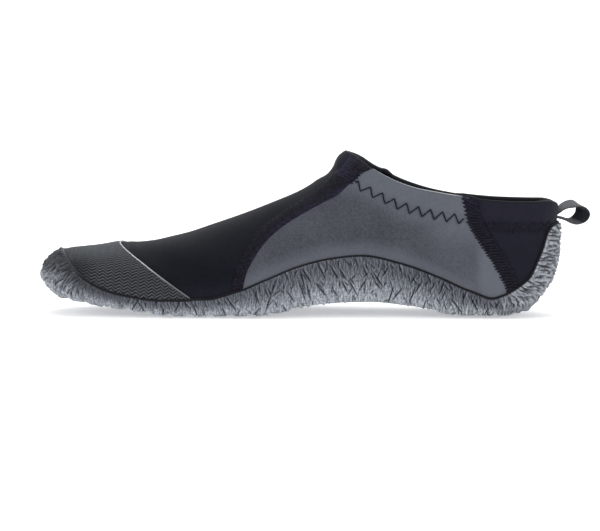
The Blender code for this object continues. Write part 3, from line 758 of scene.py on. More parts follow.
def knit_neoprene(name, low, high, bloom, sheen):
    """Matte cloth: two tones along rows of loops, speckle, cloudy wear about 25 mm across, a bump of
    the loops. The bloom is a paler tone of painted light, as along the hem, over the sole's edge and
    towards the heel."""
    material, tree, shader = finish(
        name, Roughness=0.82, IOR=1.45, Specular_IOR_Level=0.16,
        Sheen_Weight=sheen, Sheen_Roughness=0.45, Sheen_Tint=linear("#c9cede"),
    )
    flat = add(tree, "ShaderNodeUVMap", uv_map="flat").outputs["UV"]
    place = add(tree, "ShaderNodeTexCoord").outputs["Object"]
    loose = {"Vector": flat, "Distortion": 1.2, "Detail": 1.0, "Detail Scale": 1.5}
    wales, courses = (
        add(tree, "ShaderNodeTexWave", {"Scale": WAVE_REPEAT / gap, **loose}, bands_direction=way)
        for way, gap in (("X", WALE_GAP), ("Y", COURSE_GAP))
    )
    crossed = {0: wales.outputs["Fac"], 1: courses.outputs["Fac"]}
    loops = add(tree, "ShaderNodeMath", crossed, operation="MULTIPLY").outputs[0]
    cloud = add(tree, "ShaderNodeTexNoise", {"Vector": place, "Scale": 1 / 0.025, "Detail": 4.0})
    # Speckle where loops catch the light, drawn at about 1.3 mm so that it shows
    fleck = add(tree, "ShaderNodeTexNoise", {"Vector": place, "Scale": 1 / 0.0013, "Detail": 2.0})
    centred = {0: fleck.outputs["Fac"], 1: 1.3, 2: -0.65}
    speckle = add(tree, "ShaderNodeMath", centred, operation="MULTIPLY_ADD").outputs[0]
    uneven = add(tree, "ShaderNodeMath", {0: cloud.outputs["Fac"], 1: speckle}, operation="ADD").outputs[0]
    mixed = add(tree, "ShaderNodeMath", {0: loops, 1: 0.3, 2: uneven}, operation="MULTIPLY_ADD").outputs[0]
    # Painted light: how much of the paler bloom is mixed in
    stretch = add(tree, "ShaderNodeAttribute", attribute_name="stretch").outputs["Fac"]
    colour = linear(low)
    for factor, coat in ((mixed, high), (stretch, bloom)):
        over = {"Factor": factor, "A": colour, "B": linear(coat)}
        colour = add(tree, "ShaderNodeMix", over, data_type="RGBA", clamp_factor=True).outputs["Result"]
    tree.links.new(colour, shader.inputs["Base Color"])
    bump = add(tree, "ShaderNodeBump", {"Height": loops, "Strength": 0.25, "Distance": 0.0003})
    tree.links.new(bump.outputs["Normal"], shader.inputs["Normal"])
    return material


black_neoprene = knit_neoprene("nylon_jersey_neoprene_black", "#03060c", "#0b0f19", "#1d1c28", 0.06)
grey_neoprene = knit_neoprene("nylon_jersey_neoprene_grey", "#313439", "#4a4d54", "#6c707a", 0.1)
print("made", black_neoprene.name, "and", grey_neoprene.name)

# %% [markdown]
# The neoprene upper
#
# The upper is sewn from panels of 3 mm neoprene: a black vamp, two grey quarters and a black heel.
# One grid a side gives the outer face; the seams' curves decide which panel a quad belongs to, and
# soft creases show where the sock has been folded and pulled on.

# %% Seams and collar as curves
COLLAR_COLUMNS = ("station", "height")
COLLAR = (
    (164.5, 87.2), (171.0, 84.6), (177.5, 80.4), (189.0, 74.0), (200.5, 69.6), (213.0, 66.2),
    (226.5, 63.7), (234.0, 62.5), (250.0, 61.4), (263.0, 61.2), (277.2, 61.8),
)
# How far the edge lies below that line on each side; the far side has a small bump at its tab
DROP_COLUMNS = ("station", "medial", "lateral")
COLLAR_DROP = (
    (164.5, 0.0, 0.0), (167.0, 0.8, 0.0), (171.0, 1.9, 0.2), (177.0, 2.4, 0.3), (182.0, 2.2, 0.0),
    (186.0, 2.0, -1.2), (190.0, 1.9, 0.2), (199.0, 1.6, 0.6), (213.0, 0.5, 0.9), (225.0, 0.0, 0.9),
    (229.0, -0.7, 0.2), (236.0, 0.0, 0.0), (263.0, 0.0, 0.0), (270.0, 0.1, 0.1), (274.4, 0.8, 0.8),
    (276.4, 1.9, 1.9), (277.2, 3.2, 3.2),
)
BAND_COLUMNS = ("place", "station_a", "height_a", "station_b", "height_b")
FRONT_BAND = (
    (0, 103.0, 12.2, 109.4, 13.6), (1, 106.0, 25.0, 111.4, 23.0), (2, 111.2, 36.0, 115.8, 31.8),
    (3, 118.4, 46.0, 121.4, 39.6), (4, 128.8, 54.0, 130.6, 48.0), (5, 139.2, 61.0, 141.8, 54.8),
    (6, 150.6, 68.2, 156.0, 62.8), (7, 157.0, 75.6, 166.0, 70.4), (8, 162.6, 82.4, 172.6, 76.9),
    (9, 165.2, 86.2, 175.8, 78.6),
)
HEEL_BAND = (
    (0, 257.0, 10.6, 261.6, 12.2), (1, 248.0, 21.0, 254.8, 23.4), (2, 240.8, 31.0, 247.8, 33.8),
    (3, 234.2, 40.8, 241.0, 43.4), (4, 228.8, 50.0, 235.8, 52.0), (5, 225.2, 64.0, 232.4, 62.8),
)


def band_line(table, share, at):
    """Station and height on a seam band, a share of the way from its first edge to its second."""
    read = {name: curve_through(table, BAND_COLUMNS, name, at) for name in BAND_COLUMNS[1:]}
    station = read["station_a"] + (read["station_b"] - read["station_a"]) * share
    return station, read["height_a"] + (read["height_b"] - read["height_a"]) * share


def collar_height(station):
    """Height of the collar's line, which is the same on both sides."""
    return curve_through(COLLAR, COLLAR_COLUMNS, "height", station)


def collar_edge(side, station):
    """Height of the collar's edge on one side: the collar's line less that side's drop."""
    return collar_height(station) - curve_through(COLLAR_DROP, DROP_COLUMNS, side, station)


def panel(stations, height):
    """0 for the vamp, 1 for a quarter and 2 for the heel, by which seam a point lies behind."""
    front_station, front_height = band_line(FRONT_BAND, 0.8, np.linspace(0.0, 9.0, 200))
    heel_station, heel_height = band_line(HEEL_BAND, 0.5, np.linspace(0.0, 5.0, 200))
    beyond = 1.4 * np.maximum(height - front_height[-1], 0.0)
    behind_front = stations > np.interp(height, front_height, front_station) + beyond
    behind_heel = stations > np.interp(height, heel_height, heel_station)
    return behind_front.astype(int) + behind_heel


print("collar's front peak:", COLLAR[0], "mm")

# %% Creases listed one by one
# side, from station and height, to station and height, depth, width
CREASES = (
    ("both", 52.0, 38.0, 78.0, 24.0, 0.7, 5.0),
    ("both", 60.0, 39.0, 92.0, 30.0, -0.5, 6.0),
    ("both", 50.0, 37.6, 57.0, 37.6, -0.8, 6.0),
    ("both", 160.2, 81.0, 163.2, 86.0, -0.9, 3.2),
    ("both", 143.0, 70.0, 128.0, 54.0, 0.5, 4.5),
    ("both", 154.0, 75.0, 160.0, 62.0, 0.6, 4.0),
    ("medial", 186.0, 54.0, 216.0, 40.0, 0.45, 7.0),
    ("lateral", 178.0, 58.0, 214.0, 38.0, 0.6, 7.0),
    ("lateral", 84.0, 36.0, 108.0, 20.0, 0.5, 6.0),
    ("both", 244.0, 46.0, 262.0, 40.0, 0.35, 5.0),
)


def crease_depth(side, station, height):
    """Sum of soft troughs: each is a Gaussian of the distance to a short line in the side view."""
    depth = np.zeros(np.broadcast(station, height).shape)
    for where, s0, z0, s1, z1, deep, width in CREASES:
        if where in (side, "both"):
            run, rise = s1 - s0, z1 - z0
            along = np.clip(((station - s0) * run + (height - z0) * rise) / (run**2 + rise**2), 0.0, 1.0)
            off = np.hypot(station - s0 - along * run, height - z0 - along * rise)
            depth = depth + deep * np.exp(-((off / width) ** 2))
    return depth


print("creases placed by hand:", len(CREASES))

# %% The outer face of the upper
upper_stations = station_column(
    (NOSE_STATION, 58.0, 60, "start"), (58.0, 146.0, 100, ""), (146.0, COLLAR_FRONT, 34, ""),
    (COLLAR_FRONT, 200.0, 56, "start"), (200.0, 252.0, 60, ""), (252.0, HEEL_STATION, 50, "end"),
)
UPPER_ROWS, SOLE_OPENING = 72, 0.88
HEM_VALLEY, VALLEY_DROP, VALLEY_SPREAD = 0.4, 12.5, 3.2


def upper_edges(side, stations):
    """Angles of the upper's lower edge, under the foot, and of its top edge, crest or collar."""
    opening = SOLE_OPENING * round_off(stations - 15.0, 24.0, 2.0)
    low = -np.arccos(np.clip(opening, 0.0, 1.0) ** (LOWER_POWER / 2))
    high = angle_at(stations, collar_edge(side, stations))
    return low, np.where(stations <= COLLAR_FRONT, np.pi / 2, high)


def hem_relief(stations, height):
    """The turned hem: a shallow valley along its stitch line, puckered between the stitches."""
    below = collar_height(stations) - height
    behind = smooth_step((stations - 158.0) / 8.0)
    pucker = 1.0 + 0.35 * np.sin(2 * np.pi * stations / ZIGZAG_PERIOD)
    return -HEM_VALLEY * behind * pucker * np.exp(-(((below - VALLEY_DROP) / VALLEY_SPREAD) ** 2))


def stretched(side, stations, height):
    """How much painted light the cloth gets, 0 to 1: the most of four smooth steps, along the hem, over
    the sole's edge as light from below, towards the heel seam and over the heel."""
    hem = smooth_step((26.0 - collar_height(stations) + height) / 15.0) * (stations > 160.0)
    above_sole = height - curve_through(RIM, RIM_COLUMNS, side, stations)
    over_sole = smooth_step((12.0 - above_sole) / 11.0)
    higher = 0.4 + 0.6 * smooth_step((height - 34.0) / 16.0)
    to_heel = smooth_step((stations - 194.0) / 28.0) * higher
    heel = smooth_step((stations - 228.0) / 10.0) * (0.55 + 0.35 * hem)
    return np.maximum.reduce([0.48 * hem, 0.48 * over_sole, 0.45 * to_heel, heel])


def upper_side(side):
    """Skin plus normal times (hem relief - creases), the flat map in millimetres, which quads are
    grey, and the share of painted light."""
    low, high = upper_edges(side, upper_stations)
    angles = even_rows(side, upper_stations, low, high, UPPER_ROWS)
    base = skin(side, upper_stations, angles)
    fade = smooth_step((np.arange(UPPER_ROWS + 1)[::-1]) / 3.0) + (upper_stations < COLLAR_FRONT)
    lift = hem_relief(upper_stations, base[..., 2]) - crease_depth(side, upper_stations, base[..., 2])
    points = base + facing(side, upper_stations, angles) * (lift * np.minimum(fade, 1.0))[..., None]
    climb = np.cumsum(np.linalg.norm(np.diff(base, axis=1, prepend=base[:, :1]), axis=-1), axis=1)
    flat = np.stack([np.broadcast_to(upper_stations, climb.shape), climb], axis=-1)
    middle = (base[1:, 1:] + base[:-1, :-1]) / 2
    colour = (panel((upper_stations[1:] + upper_stations[:-1]) / 2, middle[..., 2]) == 1).astype(int)
    return points, flat, colour, stretched(side, upper_stations, base[..., 2])


upper_halves = {side: upper_side(side) for side in SIDES}
closed_top = upper_stations[:, 0] <= COLLAR_FRONT
upper_halves["lateral"][0][closed_top, -1] = upper_halves["medial"][0][closed_top, -1]
upper_halves["lateral"][0][-1] = upper_halves["medial"][0][-1]
piece(
    "neoprene_upper",
    [patch(p, turned=side == "lateral", flat=f, paint=c, stretch=s)
     for side, (p, f, c, s) in upper_halves.items()],
    [black_neoprene, grey_neoprene], ["upper"],
)

# %% [markdown]
# The lining and the collar's rolled edge
#
# From behind and above one looks into the shoe, so the neoprene needs its inner face, and the
# collar needs the rounded fold that joins the two. The lining is the skin set in by the wall's
# thickness and closed under the foot; the fold is a half circle carried along the collar's edge. On
# the grey quarters a thin pale line is painted along the fold as a highlight, where the jersey is
# pulled over the foam.

# %% Lining of the sock
LINING_ROWS = 44
lining_stations = station_column(
    (NOSE_STATION + 5.0, 58.0, 24, "start"), (58.0, COLLAR_FRONT, 46, ""), (COLLAR_FRONT, 200.0, 40, "start"),
    (200.0, 252.0, 26, ""), (252.0, HEEL_STATION, 24, "end"),
)


def wall_at(stations, height):
    """Neoprene's thickness: 3 mm, and more in the turned hem."""
    hem = smooth_step((HEM_WIDTH + 1.5 - collar_height(stations) + height) / 3.0)
    behind = smooth_step((stations - 150.0) / 8.0)
    return NEOPRENE + (HEM_THICKNESS - NEOPRENE) * (hem * behind)


def lining_side(side):
    """Skin less normal times the wall's thickness, closed under the foot like a sock."""
    high = upper_edges(side, lining_stations)[1]
    angles = even_rows(side, lining_stations, -np.pi / 2, high, LINING_ROWS)
    base = skin(side, lining_stations, angles)
    inner = base - facing(side, lining_stations, angles) * wall_at(lining_stations, base[..., 2])[..., None]
    flat = np.stack([np.broadcast_to(lining_stations, base.shape[:2]), base[..., 2]], axis=-1)
    return inner, flat


lining_halves = {side: lining_side(side) for side in SIDES}
lining_closed = lining_stations[:, 0] <= COLLAR_FRONT
lining_halves["lateral"][0][lining_closed, -1] = lining_halves["medial"][0][lining_closed, -1]
lining_halves["lateral"][0][-1] = lining_halves["medial"][0][-1]
lining_halves["lateral"][0][:, 0] = lining_halves["medial"][0][:, 0]
lining_black = knit_neoprene("nylon_jersey_lining_black", "#0b0c10", "#16181c", "#16181c", 0.1)
piece(
    "jersey_lining",
    [patch(p, turned=side == "medial", flat=f) for side, (p, f) in lining_halves.items()],
    [lining_black], ["upper"],
)

# %% The collar's fold
GREY_FRONT, GREY_BACK, FOLD_HEIGHT = 176.8, 224.8, 0.55
collar_stations = station_column(
    (COLLAR_FRONT, 200.0, 70, "start"), (200.0, 252.0, 60, ""), (252.0, HEEL_STATION, 50, "end"),
)[:, 0]


def collar_fold(side, turn):
    """Flattened half circle of the hem's thickness from the outer face over to the lining: edge point
    less half a wall along the normal, plus half a wall times (cos along the normal, 0.55 sin out of
    the edge)."""
    angle = upper_edges(side, np.nextafter(collar_stations, 999.0))[1]
    edge, normal = skin(side, collar_stations, angle), facing(side, collar_stations, angle)
    normal[[0, -1], 1] = 0.0
    normal = unit(normal)
    way = edge_way(side, edge, normal)
    half = wall_at(collar_stations, edge[:, 2])[:, None, None] / 2
    spoke = np.cos(turn)[:, None] * normal[:, None] + FOLD_HEIGHT * np.sin(turn)[:, None] * way[:, None]
    return edge[:, None] + half * (spoke - normal[:, None])


turn = np.linspace(0.0, np.pi, 11)
folds = {side: collar_fold(side, turn) for side in SIDES}
folds["lateral"][[0, -1]] = folds["medial"][[0, -1]]
fold_grey = knit_neoprene("nylon_jersey_fold_grey", "#45484f", "#5f636b", "#d9dce1", 0.1)
grey_run = (collar_stations > GREY_FRONT) & (collar_stations < GREY_BACK)
outer_half = turn[1:] < np.radians(95.0)
fold_paint = (grey_run[:-1, None] & outer_half).astype(int)
# Painted highlight: a thin pale line round 54 degrees of the fold's turn, on the grey quarters
ends_fade = smooth_step((collar_stations - 175.0) / 3.5) * smooth_step((227.0 - collar_stations) / 8.0)
light_line = ends_fade[:, None] * np.exp(-(((turn - np.radians(54.0)) / np.radians(15.0)) ** 2))
piece(
    "collar_fold",
    [patch(f, turned=side == "lateral", paint=fold_paint, stretch=light_line) for side, f in folds.items()],
    [lining_black, fold_grey], ["upper"],
)

# %% [markdown]
# The knurled toe cap
#
# A sheet of black rubber, about 0.9 mm thick and glued over the toes, takes the knocks. It is
# calendered with zigzag ridges, and its back edge is cut with a bevel that catches the light. The
# ridges are 1.6 mm apart, wide enough to be real geometry.

# %% Calendered rubber with zigzag ridges
def calendered_rubber():
    """Black rubber with a low sheen. Coats lie over each other: thin greyer lines painted on the
    ridges as a highlight, with a painted sheen over the crest, cloudy wear, and the bevel painted pale
    as a highlight."""
    material, tree, shader = finish(
        "calendered_rubber_zigzag", Roughness=0.48, IOR=1.52, Specular_IOR_Level=0.16,
    )
    ridge = add(tree, "ShaderNodeAttribute", attribute_name="ridge").outputs["Fac"]
    edge = add(tree, "ShaderNodeAttribute", attribute_name="edge").outputs["Fac"]
    place = add(tree, "ShaderNodeTexCoord").outputs["Object"]
    # Scuffs a few millimetres long
    scuff = add(tree, "ShaderNodeTexNoise", {"Vector": place, "Scale": 1 / 0.004, "Detail": 4.0})
    light = add(tree, "ShaderNodeMath", {0: scuff.outputs["Fac"], 1: 0.4}, operation="MULTIPLY").outputs[0]
    colour = linear("#030406")
    # ridge carries the painted highlight and sheen, edge the painted highlight of the bevel
    for factor, coat in ((ridge, "#6a7077"), (light, "#171a1e"), (edge, "#b4b8bc")):
        over = {"Factor": factor, "A": colour, "B": linear(coat)}
        colour = add(tree, "ShaderNodeMix", over, data_type="RGBA").outputs["Result"]
    tree.links.new(colour, shader.inputs["Base Color"])
    grain = add(tree, "ShaderNodeTexNoise", {"Vector": place, "Scale": 1 / 0.0005, "Detail": 2.0})
    bump = add(tree, "ShaderNodeBump", {"Height": grain.outputs["Fac"], "Strength": 0.2, "Distance": 0.0003})
    tree.links.new(bump.outputs["Normal"], shader.inputs["Normal"])
    return material


cap_rubber = calendered_rubber()
print("made", cap_rubber.name)

# %% The toe cap as one grid over the toes
CAP_BACK_TOP, CAP_BACK_LOW, CAP_THICKNESS = 43.0, 83.0, 0.9
BEVEL_RADIUS, BEVEL_LIFT = 0.48, 0.95
RIDGE_PITCH, RIDGE_COLUMN, RIDGE_SWAY, RIDGE_HEIGHT = 1.55, 2.15, 0.95, 0.4
cap_stations = station_column((BUMPER_TOP + 0.8, 34.0, 70, "start"), (34.0, CAP_BACK_LOW + 1.0, 126, ""))
CAP_ROWS = 124


def cap_back(side, station):
    """Height of the cap's back edge: a straight line in the side view from the crest to the rim."""
    low = curve_through(RIM, RIM_COLUMNS, side, CAP_BACK_LOW) + 0.3
    share = (station - CAP_BACK_TOP) / (CAP_BACK_LOW - CAP_BACK_TOP)
    return heights(np.array(CAP_BACK_TOP))[2] * (1 - share) + low * share


def cap_side(side):
    """Skin plus normal times (gap + sheet - troughs). A ridge is a raised cosine of the climb up the
    side, shifted to and fro by a triangle wave along the foot. Quads behind the back edge are left
    out. A painted highlight follows the ridges, fainter at the front, and a painted sheen makes the
    crest paler all over."""
    low_height = curve_through(RIM, RIM_COLUMNS, side, cap_stations - 0.8) - 0.4
    low = np.minimum(angle_at(cap_stations, low_height), np.pi / 2 - 0.01)
    angles = even_rows(side, cap_stations, low, np.pi / 2, CAP_ROWS)
    base, normal = skin(side, cap_stations, angles), facing(side, cap_stations, angles)
    level = np.linspace(-0.6, np.pi / 2, 200)
    climbed = np.linalg.norm(np.diff(skin(side, cap_stations, level), axis=1), axis=-1)
    climbed = np.insert(np.cumsum(climbed, axis=1), 0, 0.0, axis=1)
    climb = np.array([np.interp(a, level, c) for a, c in zip(angles, climbed)])
    sway = RIDGE_SWAY * np.abs(np.mod(cap_stations / RIDGE_COLUMN, 2.0) - 1.0)
    ridge = (0.5 + 0.5 * np.cos(2 * np.pi * (climb / RIDGE_PITCH + sway))) ** 1.4
    lift = CUP_GAP + CAP_THICKNESS - RIDGE_HEIGHT * (1 - ridge)
    inside = (base[..., 2] < cap_back(side, cap_stations)) | (cap_stations < CAP_BACK_TOP)
    keep = inside[1:, 1:] & inside[:-1, :-1] & inside[1:, :-1] & inside[:-1, 1:]
    # Painted sheen on the crest, and a painted highlight on the ridges that fades towards the front
    top = smooth_step((base[..., 2] - heights(cap_stations)[2] + 8.5) / 9.0)
    front = 0.3 + 0.7 * smooth_step((cap_stations - 22.0) / 14.0)
    painted_highlight_and_sheen = 0.95 * ridge**4 * front * (1 - 0.85 * top) + 0.46 * top
    return base + normal * lift[..., None], painted_highlight_and_sheen, keep


cap_halves = {side: cap_side(side) for side in SIDES}
cap_halves["lateral"][0][:, -1] = cap_halves["medial"][0][:, -1]
piece(
    "toe_cap_sheet",
    [patch(p, turned=side == "lateral", keep=k, ridge=r, edge=0.0) for side, (p, r, k) in cap_halves.items()],
    [cap_rubber], ["toe_cap"],
)

# %% [markdown]
# Thread, and tubes for stitches
#
# Seams on wetsuits are overlocked: a needle lays hundreds of short stitches side by side across the
# join. Each stitch is a thin tube that rises out of the cloth and dives back, so all stitches of a
# seam are worked out as one array and become one object.

# %% Polyester thread and stitch tubes
def spun_thread(name, low, high):
    """Spun polyester: dark and hardly shiny, mottled by fibres about 1 mm long."""
    material, tree, shader = finish(name, Roughness=0.7, IOR=1.55, Specular_IOR_Level=0.12)
    place = add(tree, "ShaderNodeTexCoord").outputs["Object"]
    fibre = add(tree, "ShaderNodeTexNoise", {"Vector": place, "Scale": 1 / 0.0011, "Detail": 3.0})
    widened = {"Value": fibre.outputs["Fac"], "From Min": 0.35, "From Max": 0.65}
    mottle = add(tree, "ShaderNodeMapRange", widened).outputs["Result"]
    over = {"Factor": mottle, "A": linear(low), "B": linear(high)}
    tone = add(tree, "ShaderNodeMix", over, data_type="RGBA")
    tree.links.new(tone.outputs["Result"], shader.inputs["Base Color"])
    bump = add(tree, "ShaderNodeBump", {"Height": fibre.outputs["Fac"], "Strength": 0.5, "Distance": 0.0003})
    tree.links.new(bump.outputs["Normal"], shader.inputs["Normal"])
    return material


def tubes(paths, normals, radius, sides=6):
    """Tubes along paths (count, steps, 3): ring = path + radius times (cos along the sideways
    direction, sin along the normal). The radius may vary; where it is 0 the tube closes."""
    tangent = np.gradient(paths, axis=1)
    aside = unit(np.cross(tangent, normals))
    over = unit(np.cross(aside, tangent))
    around = np.linspace(0.0, 2 * np.pi, sides + 1)
    ring = np.cos(around)[:, None] * aside[:, :, None] + np.sin(around)[:, None] * over[:, :, None]
    points = paths[:, :, None] + np.broadcast_to(radius, paths.shape[:2])[..., None, None] * ring
    points[:, :, -1] = points[:, :, 0]
    count, steps = paths.shape[:2]
    whole = (np.arange(count * steps - 1) % steps) != steps - 1
    keep = np.broadcast_to(whole[:, None], (count * steps - 1, sides))
    return patch(points.reshape(count * steps, sides + 1, 3), turned=True, keep=keep)


def closed_ends(count, rings):
    """Share of the radius along a tube of this many rings: 0 at both ends, 1 some rings further in."""
    ends = np.minimum(np.arange(count), np.arange(count)[::-1])
    return np.clip(ends / rings, 0.0, 1.0)


def cap_rim(side):
    """Path of the bead along the cap's back edge, from the sole's rim up to the crest."""
    station = spread(CAP_BACK_TOP, CAP_BACK_LOW, 90, "start")[::-1]
    angle = angle_at(station, cap_back(side, station))
    angle[-1] = np.pi / 2
    normal = facing(side, station, angle)
    return skin(side, station, angle) + normal * BEVEL_LIFT, normal


rims = [cap_rim(side) for side in SIDES]
rim_path, rim_normal = (np.concatenate([rims[0][k], rims[1][k][-2::-1]]) for k in (0, 1))
bead = tubes(rim_path[None], rim_normal[None], BEVEL_RADIUS * closed_ends(len(rim_path), 3), sides=10)
# Painted highlight on the bevel, brightest high up
bead["marks"] = {"ridge": 0.0, "edge": 0.25 + 0.75 * smooth_step((bead["points"][..., 2] - 16.0) / 16.0)}
piece("toe_cap_bevel", [bead], [cap_rubber], ["toe_cap"])

black_thread = spun_thread("polyester_thread_black", "#09090f", "#201e2a")
print("made", black_thread.name)

# %% [markdown]
# The bands over the seams
#
# Between vamp and quarter, and between quarter and heel, the seam is covered by a raised band of
# overlock stitching. A low cushion of thread carries the stitches, which cross it from edge to edge.

# %% Bands and their stitches
# How deep the cushion's borders and the stitches' ends lie in the cloth, and a stitch's own rise
BAND_ROOT, STITCH_ROOT, STITCH_RISE = 0.3, 0.25, 0.3


def on_skin(side, station, height, lift):
    """Points above the skin at a station and height, and the outward direction there."""
    angle = angle_at(station, height)
    normal = facing(side, station, angle)
    return skin(side, station, angle) + normal * np.asarray(lift)[..., None], normal


def band_strip(side, table, steps, top):
    """A low cushion between a band's edges: lift = top times the sixth-power arch across it."""
    at = np.linspace(table[0][0], table[-1][0], steps + 1)[:, None]
    share = np.linspace(0.0, 1.0, 17)
    station, height = band_line(table, share, at)
    arch = 1 - (2 * share - 1) ** 6
    lift = np.broadcast_to(-BAND_ROOT + (top + BAND_ROOT) * arch, station.shape)
    points, _ = on_skin(side, station, height, lift)
    flat = np.stack([station, height], axis=-1)
    return patch(points, turned=side == "medial", flat=flat)


def band_stitches(side, table, count, top, radius, over_a, over_b, slant):
    """Stitches across a band, a little beyond its edges by over_a and over_b as shares of its width;
    the end of a stitch lies slant steps further along. Each rises as the root of a sine."""
    first, last = table[0][0], table[-1][0]
    start = np.linspace(first + 0.02, last - 0.02, count)[:, None]
    u = np.linspace(0.0, 1.0, 9)
    wander = np.random.default_rng(5).uniform(-0.05, 0.05, (count, 1))
    share = -over_a + wander + (1 + over_a + over_b - wander) * u
    at = np.clip(start + slant * (last - first) / count * u, first, last)
    station, height = band_line(table, share, at)
    arch = np.sqrt(np.clip(np.sin(np.pi * u), 0.0, 1.0))
    lift = np.broadcast_to(-STITCH_ROOT + (top + STITCH_RISE) * arch, station.shape)
    points, normal = on_skin(side, station, height, lift)
    taper = np.clip(np.minimum(u, 1 - u) * 9, 0.0, 1.0)
    return tubes(points, normal, radius * taper)


band_cushion = spun_thread("overlock_cushion_black", "#07070f", "#232035")
LOW_FRONT_ROW = dict(count=78, top=0.75, radius=0.42, over_a=0.12, over_b=-0.04, slant=0.6)
TOP_FRONT_ROW = dict(count=12, top=0.62, radius=0.5, over_a=-0.3, over_b=0.1, slant=0.4)
HEEL_BAND_ROW = dict(count=36, top=0.55, radius=0.55, over_a=0.16, over_b=0.12, slant=-2.0)
# name, table, steps and top of the cushion, then the rows of stitches with the part of the band
# that each covers
BANDS = (
    ("front", FRONT_BAND, 120, 0.7, ((FRONT_BAND[:8], LOW_FRONT_ROW), (FRONT_BAND[7:], TOP_FRONT_ROW))),
    ("heel", HEEL_BAND, 90, 0.4, ((HEEL_BAND, HEEL_BAND_ROW),)),
)
for side in SIDES:
    for name, table, steps, top, rows in BANDS:
        covered = [f"{name}_seam_{side}"]
        cushion = band_strip(side, table, steps, top)
        piece(f"{name}_band_{side}", [cushion], [band_cushion], covered)
        stitches = [band_stitches(side, part, **row) for part, row in rows]
        piece(f"{name}_stitches_{side}", stitches, [black_thread], covered)

# %% [markdown]
# Zigzag stitching of the hem
#
# The collar's hem is held by a zigzag stitch that can stretch: a long shallow stroke up and a short
# steep stroke down, 6.5 mm a period. On the grey quarters it is the strongest drawn line of the
# shoe, so its thread is a real tube that lies on the cloth.

# %% Zigzag along the hem
HEM_ROW = dict(height_mm=5.0, period=ZIGZAG_PERIOD, radius=0.36, lead=3.6)
HEEL_ROW = dict(height_mm=2.6, period=4.4, radius=0.3)
THREAD_LIFT = 0.1


def zigzag(side, first, last, drop, skew, height_mm, period, radius, lead=0.0):
    """A line along the collar whose drop below it swings as a skewed triangle wave. The lead is a
    length at its start that stays hidden under a band and is left out."""
    station = np.arange(first + lead, last, period / 24)
    phase = np.mod((station - first) / period, 1.0)
    fall = skew(station)
    swing = np.where(phase < fall, phase / fall, (1 - phase) / (1 - fall)) - 0.5
    height = collar_height(station) - drop(station) - height_mm * (0.5 - swing)
    points, normal = on_skin(side, station, height, np.full(station.shape, THREAD_LIFT))
    return tubes(points[None], normal[None], radius * closed_ends(len(station), 2))


def hem_drop(station):
    """The stitch line's top lies 13 mm below the collar in front and 9 mm at the heel."""
    in_front = 1 - smooth_step((station - 165.0) / 20.0)
    return 11.5 + 1.8 * in_front - 2.5 * smooth_step((station - 170.0) / 60.0)


def hem_skew(station):
    """Share of a period that the rising stroke takes: most of it in front, less at the heel."""
    return 0.86 - 0.2 * np.clip((station - 165.0) / 65.0, 0.0, 1.0)


def heel_drop(station):
    """The upper row at the heel lies 10 mm below the collar all along."""
    return 10.0 + 0 * station


def heel_drop_low(station):
    """The lower row at the heel lies 13.2 mm below the collar and wavers by 0.3 mm as a sine."""
    return 13.2 + 0.3 * np.sin(station)


def even_skew(station):
    """The rising and the falling stroke share a period evenly."""
    return 0.5 + 0 * station


for side in SIDES:
    rows = [zigzag(side, 164.6, 226.4, hem_drop, hem_skew, **HEM_ROW)]
    rows += [zigzag(side, 234.0, 273.0, drop, even_skew, **HEEL_ROW) for drop in (heel_drop, heel_drop_low)]
    piece(f"hem_zigzag_{side}", rows, [black_thread])

# %% [markdown]
# Cement along the sole's edge
#
# Where the rubber lip meets the neoprene, a thin line of black rubber cement squeezes out. In the
# picture of the whole shoe it draws the dark outline between sole and upper. Round the toe the line
# is paler.

# %% Rubber cement bead
def cement():
    """Glossier than the rubber around it, nearly black, a little lumpy, greyer round the toe."""
    material, tree, shader = finish("rubber_cement_black", Roughness=0.5, IOR=1.5, Specular_IOR_Level=0.2)
    place = add(tree, "ShaderNodeTexCoord").outputs["Object"]
    paleness = add(tree, "ShaderNodeAttribute", attribute_name="paleness").outputs["Fac"]
    # Lumps of about 2 mm
    noise = add(tree, "ShaderNodeTexNoise", {"Vector": place, "Scale": 1 / 0.002, "Detail": 3.0})
    lumps = noise.outputs["Fac"]
    colour = linear("#05060a")
    for factor, coat in ((lumps, "#0e1016"), (paleness, "#41454c")):
        over = {"Factor": factor, "A": colour, "B": linear(coat)}
        colour = add(tree, "ShaderNodeMix", over, data_type="RGBA").outputs["Result"]
    tree.links.new(colour, shader.inputs["Base Color"])
    bump = add(tree, "ShaderNodeBump", {"Height": lumps, "Strength": 0.4, "Distance": 0.0004})
    tree.links.new(bump.outputs["Normal"], shader.inputs["Normal"])
    return material


CEMENT_RADIUS, CEMENT_OUT = 0.62, 0.85
bead_stations = sole_stations[sole_stations[:, 0] >= BUMPER_TOP, 0]
beads = []
for side in SIDES:
    angle = rim_angle(side, bead_stations)
    edge, normal = skin(side, bead_stations, angle), facing(side, bead_stations, angle)
    proud = 0.5 + 0.9 * smooth_step((CAP_BACK_LOW + 1.0 - bead_stations) / 3.0)
    path = edge + normal * proud[:, None] + edge_way(side, edge, normal) * CEMENT_OUT
    line = tubes(path[None], normal[None], CEMENT_RADIUS, sides=8)
    line["marks"] = {"paleness": 0.6 * smooth_step((27.0 - line["points"][..., 0]) / 10.0)}
    beads.append(line)
piece("cement_line", beads, [cement()])

# %% [markdown]
# The footbed
#
# Inside lies a flat foam footbed with a knit face like the lining's. It is the skin's underside
# lifted by its thickness, with a soft rounded border, and at the heel it is set further back.

# %% Foam footbed
BED_FRONT, BED_BACK, BED_REACH = 19.0, 272.5, 0.85
BED_GAP, BED_FOAM, BED_SET_BACK = 0.4, 3.6, 6.0
bed_stations = station_column(
    (BED_FRONT, 45.0, 30, "start"), (45.0, 245.0, 110, ""), (245.0, BED_BACK, 30, "end"),
)
bed_front = round_off(bed_stations - BED_FRONT, 24.0, 2.0)
bed_share = BED_REACH * bed_front * round_off(BED_BACK - bed_stations, 20.0, 2.0)
bed_across = np.linspace(0.0, 1.0, 25) ** 0.8


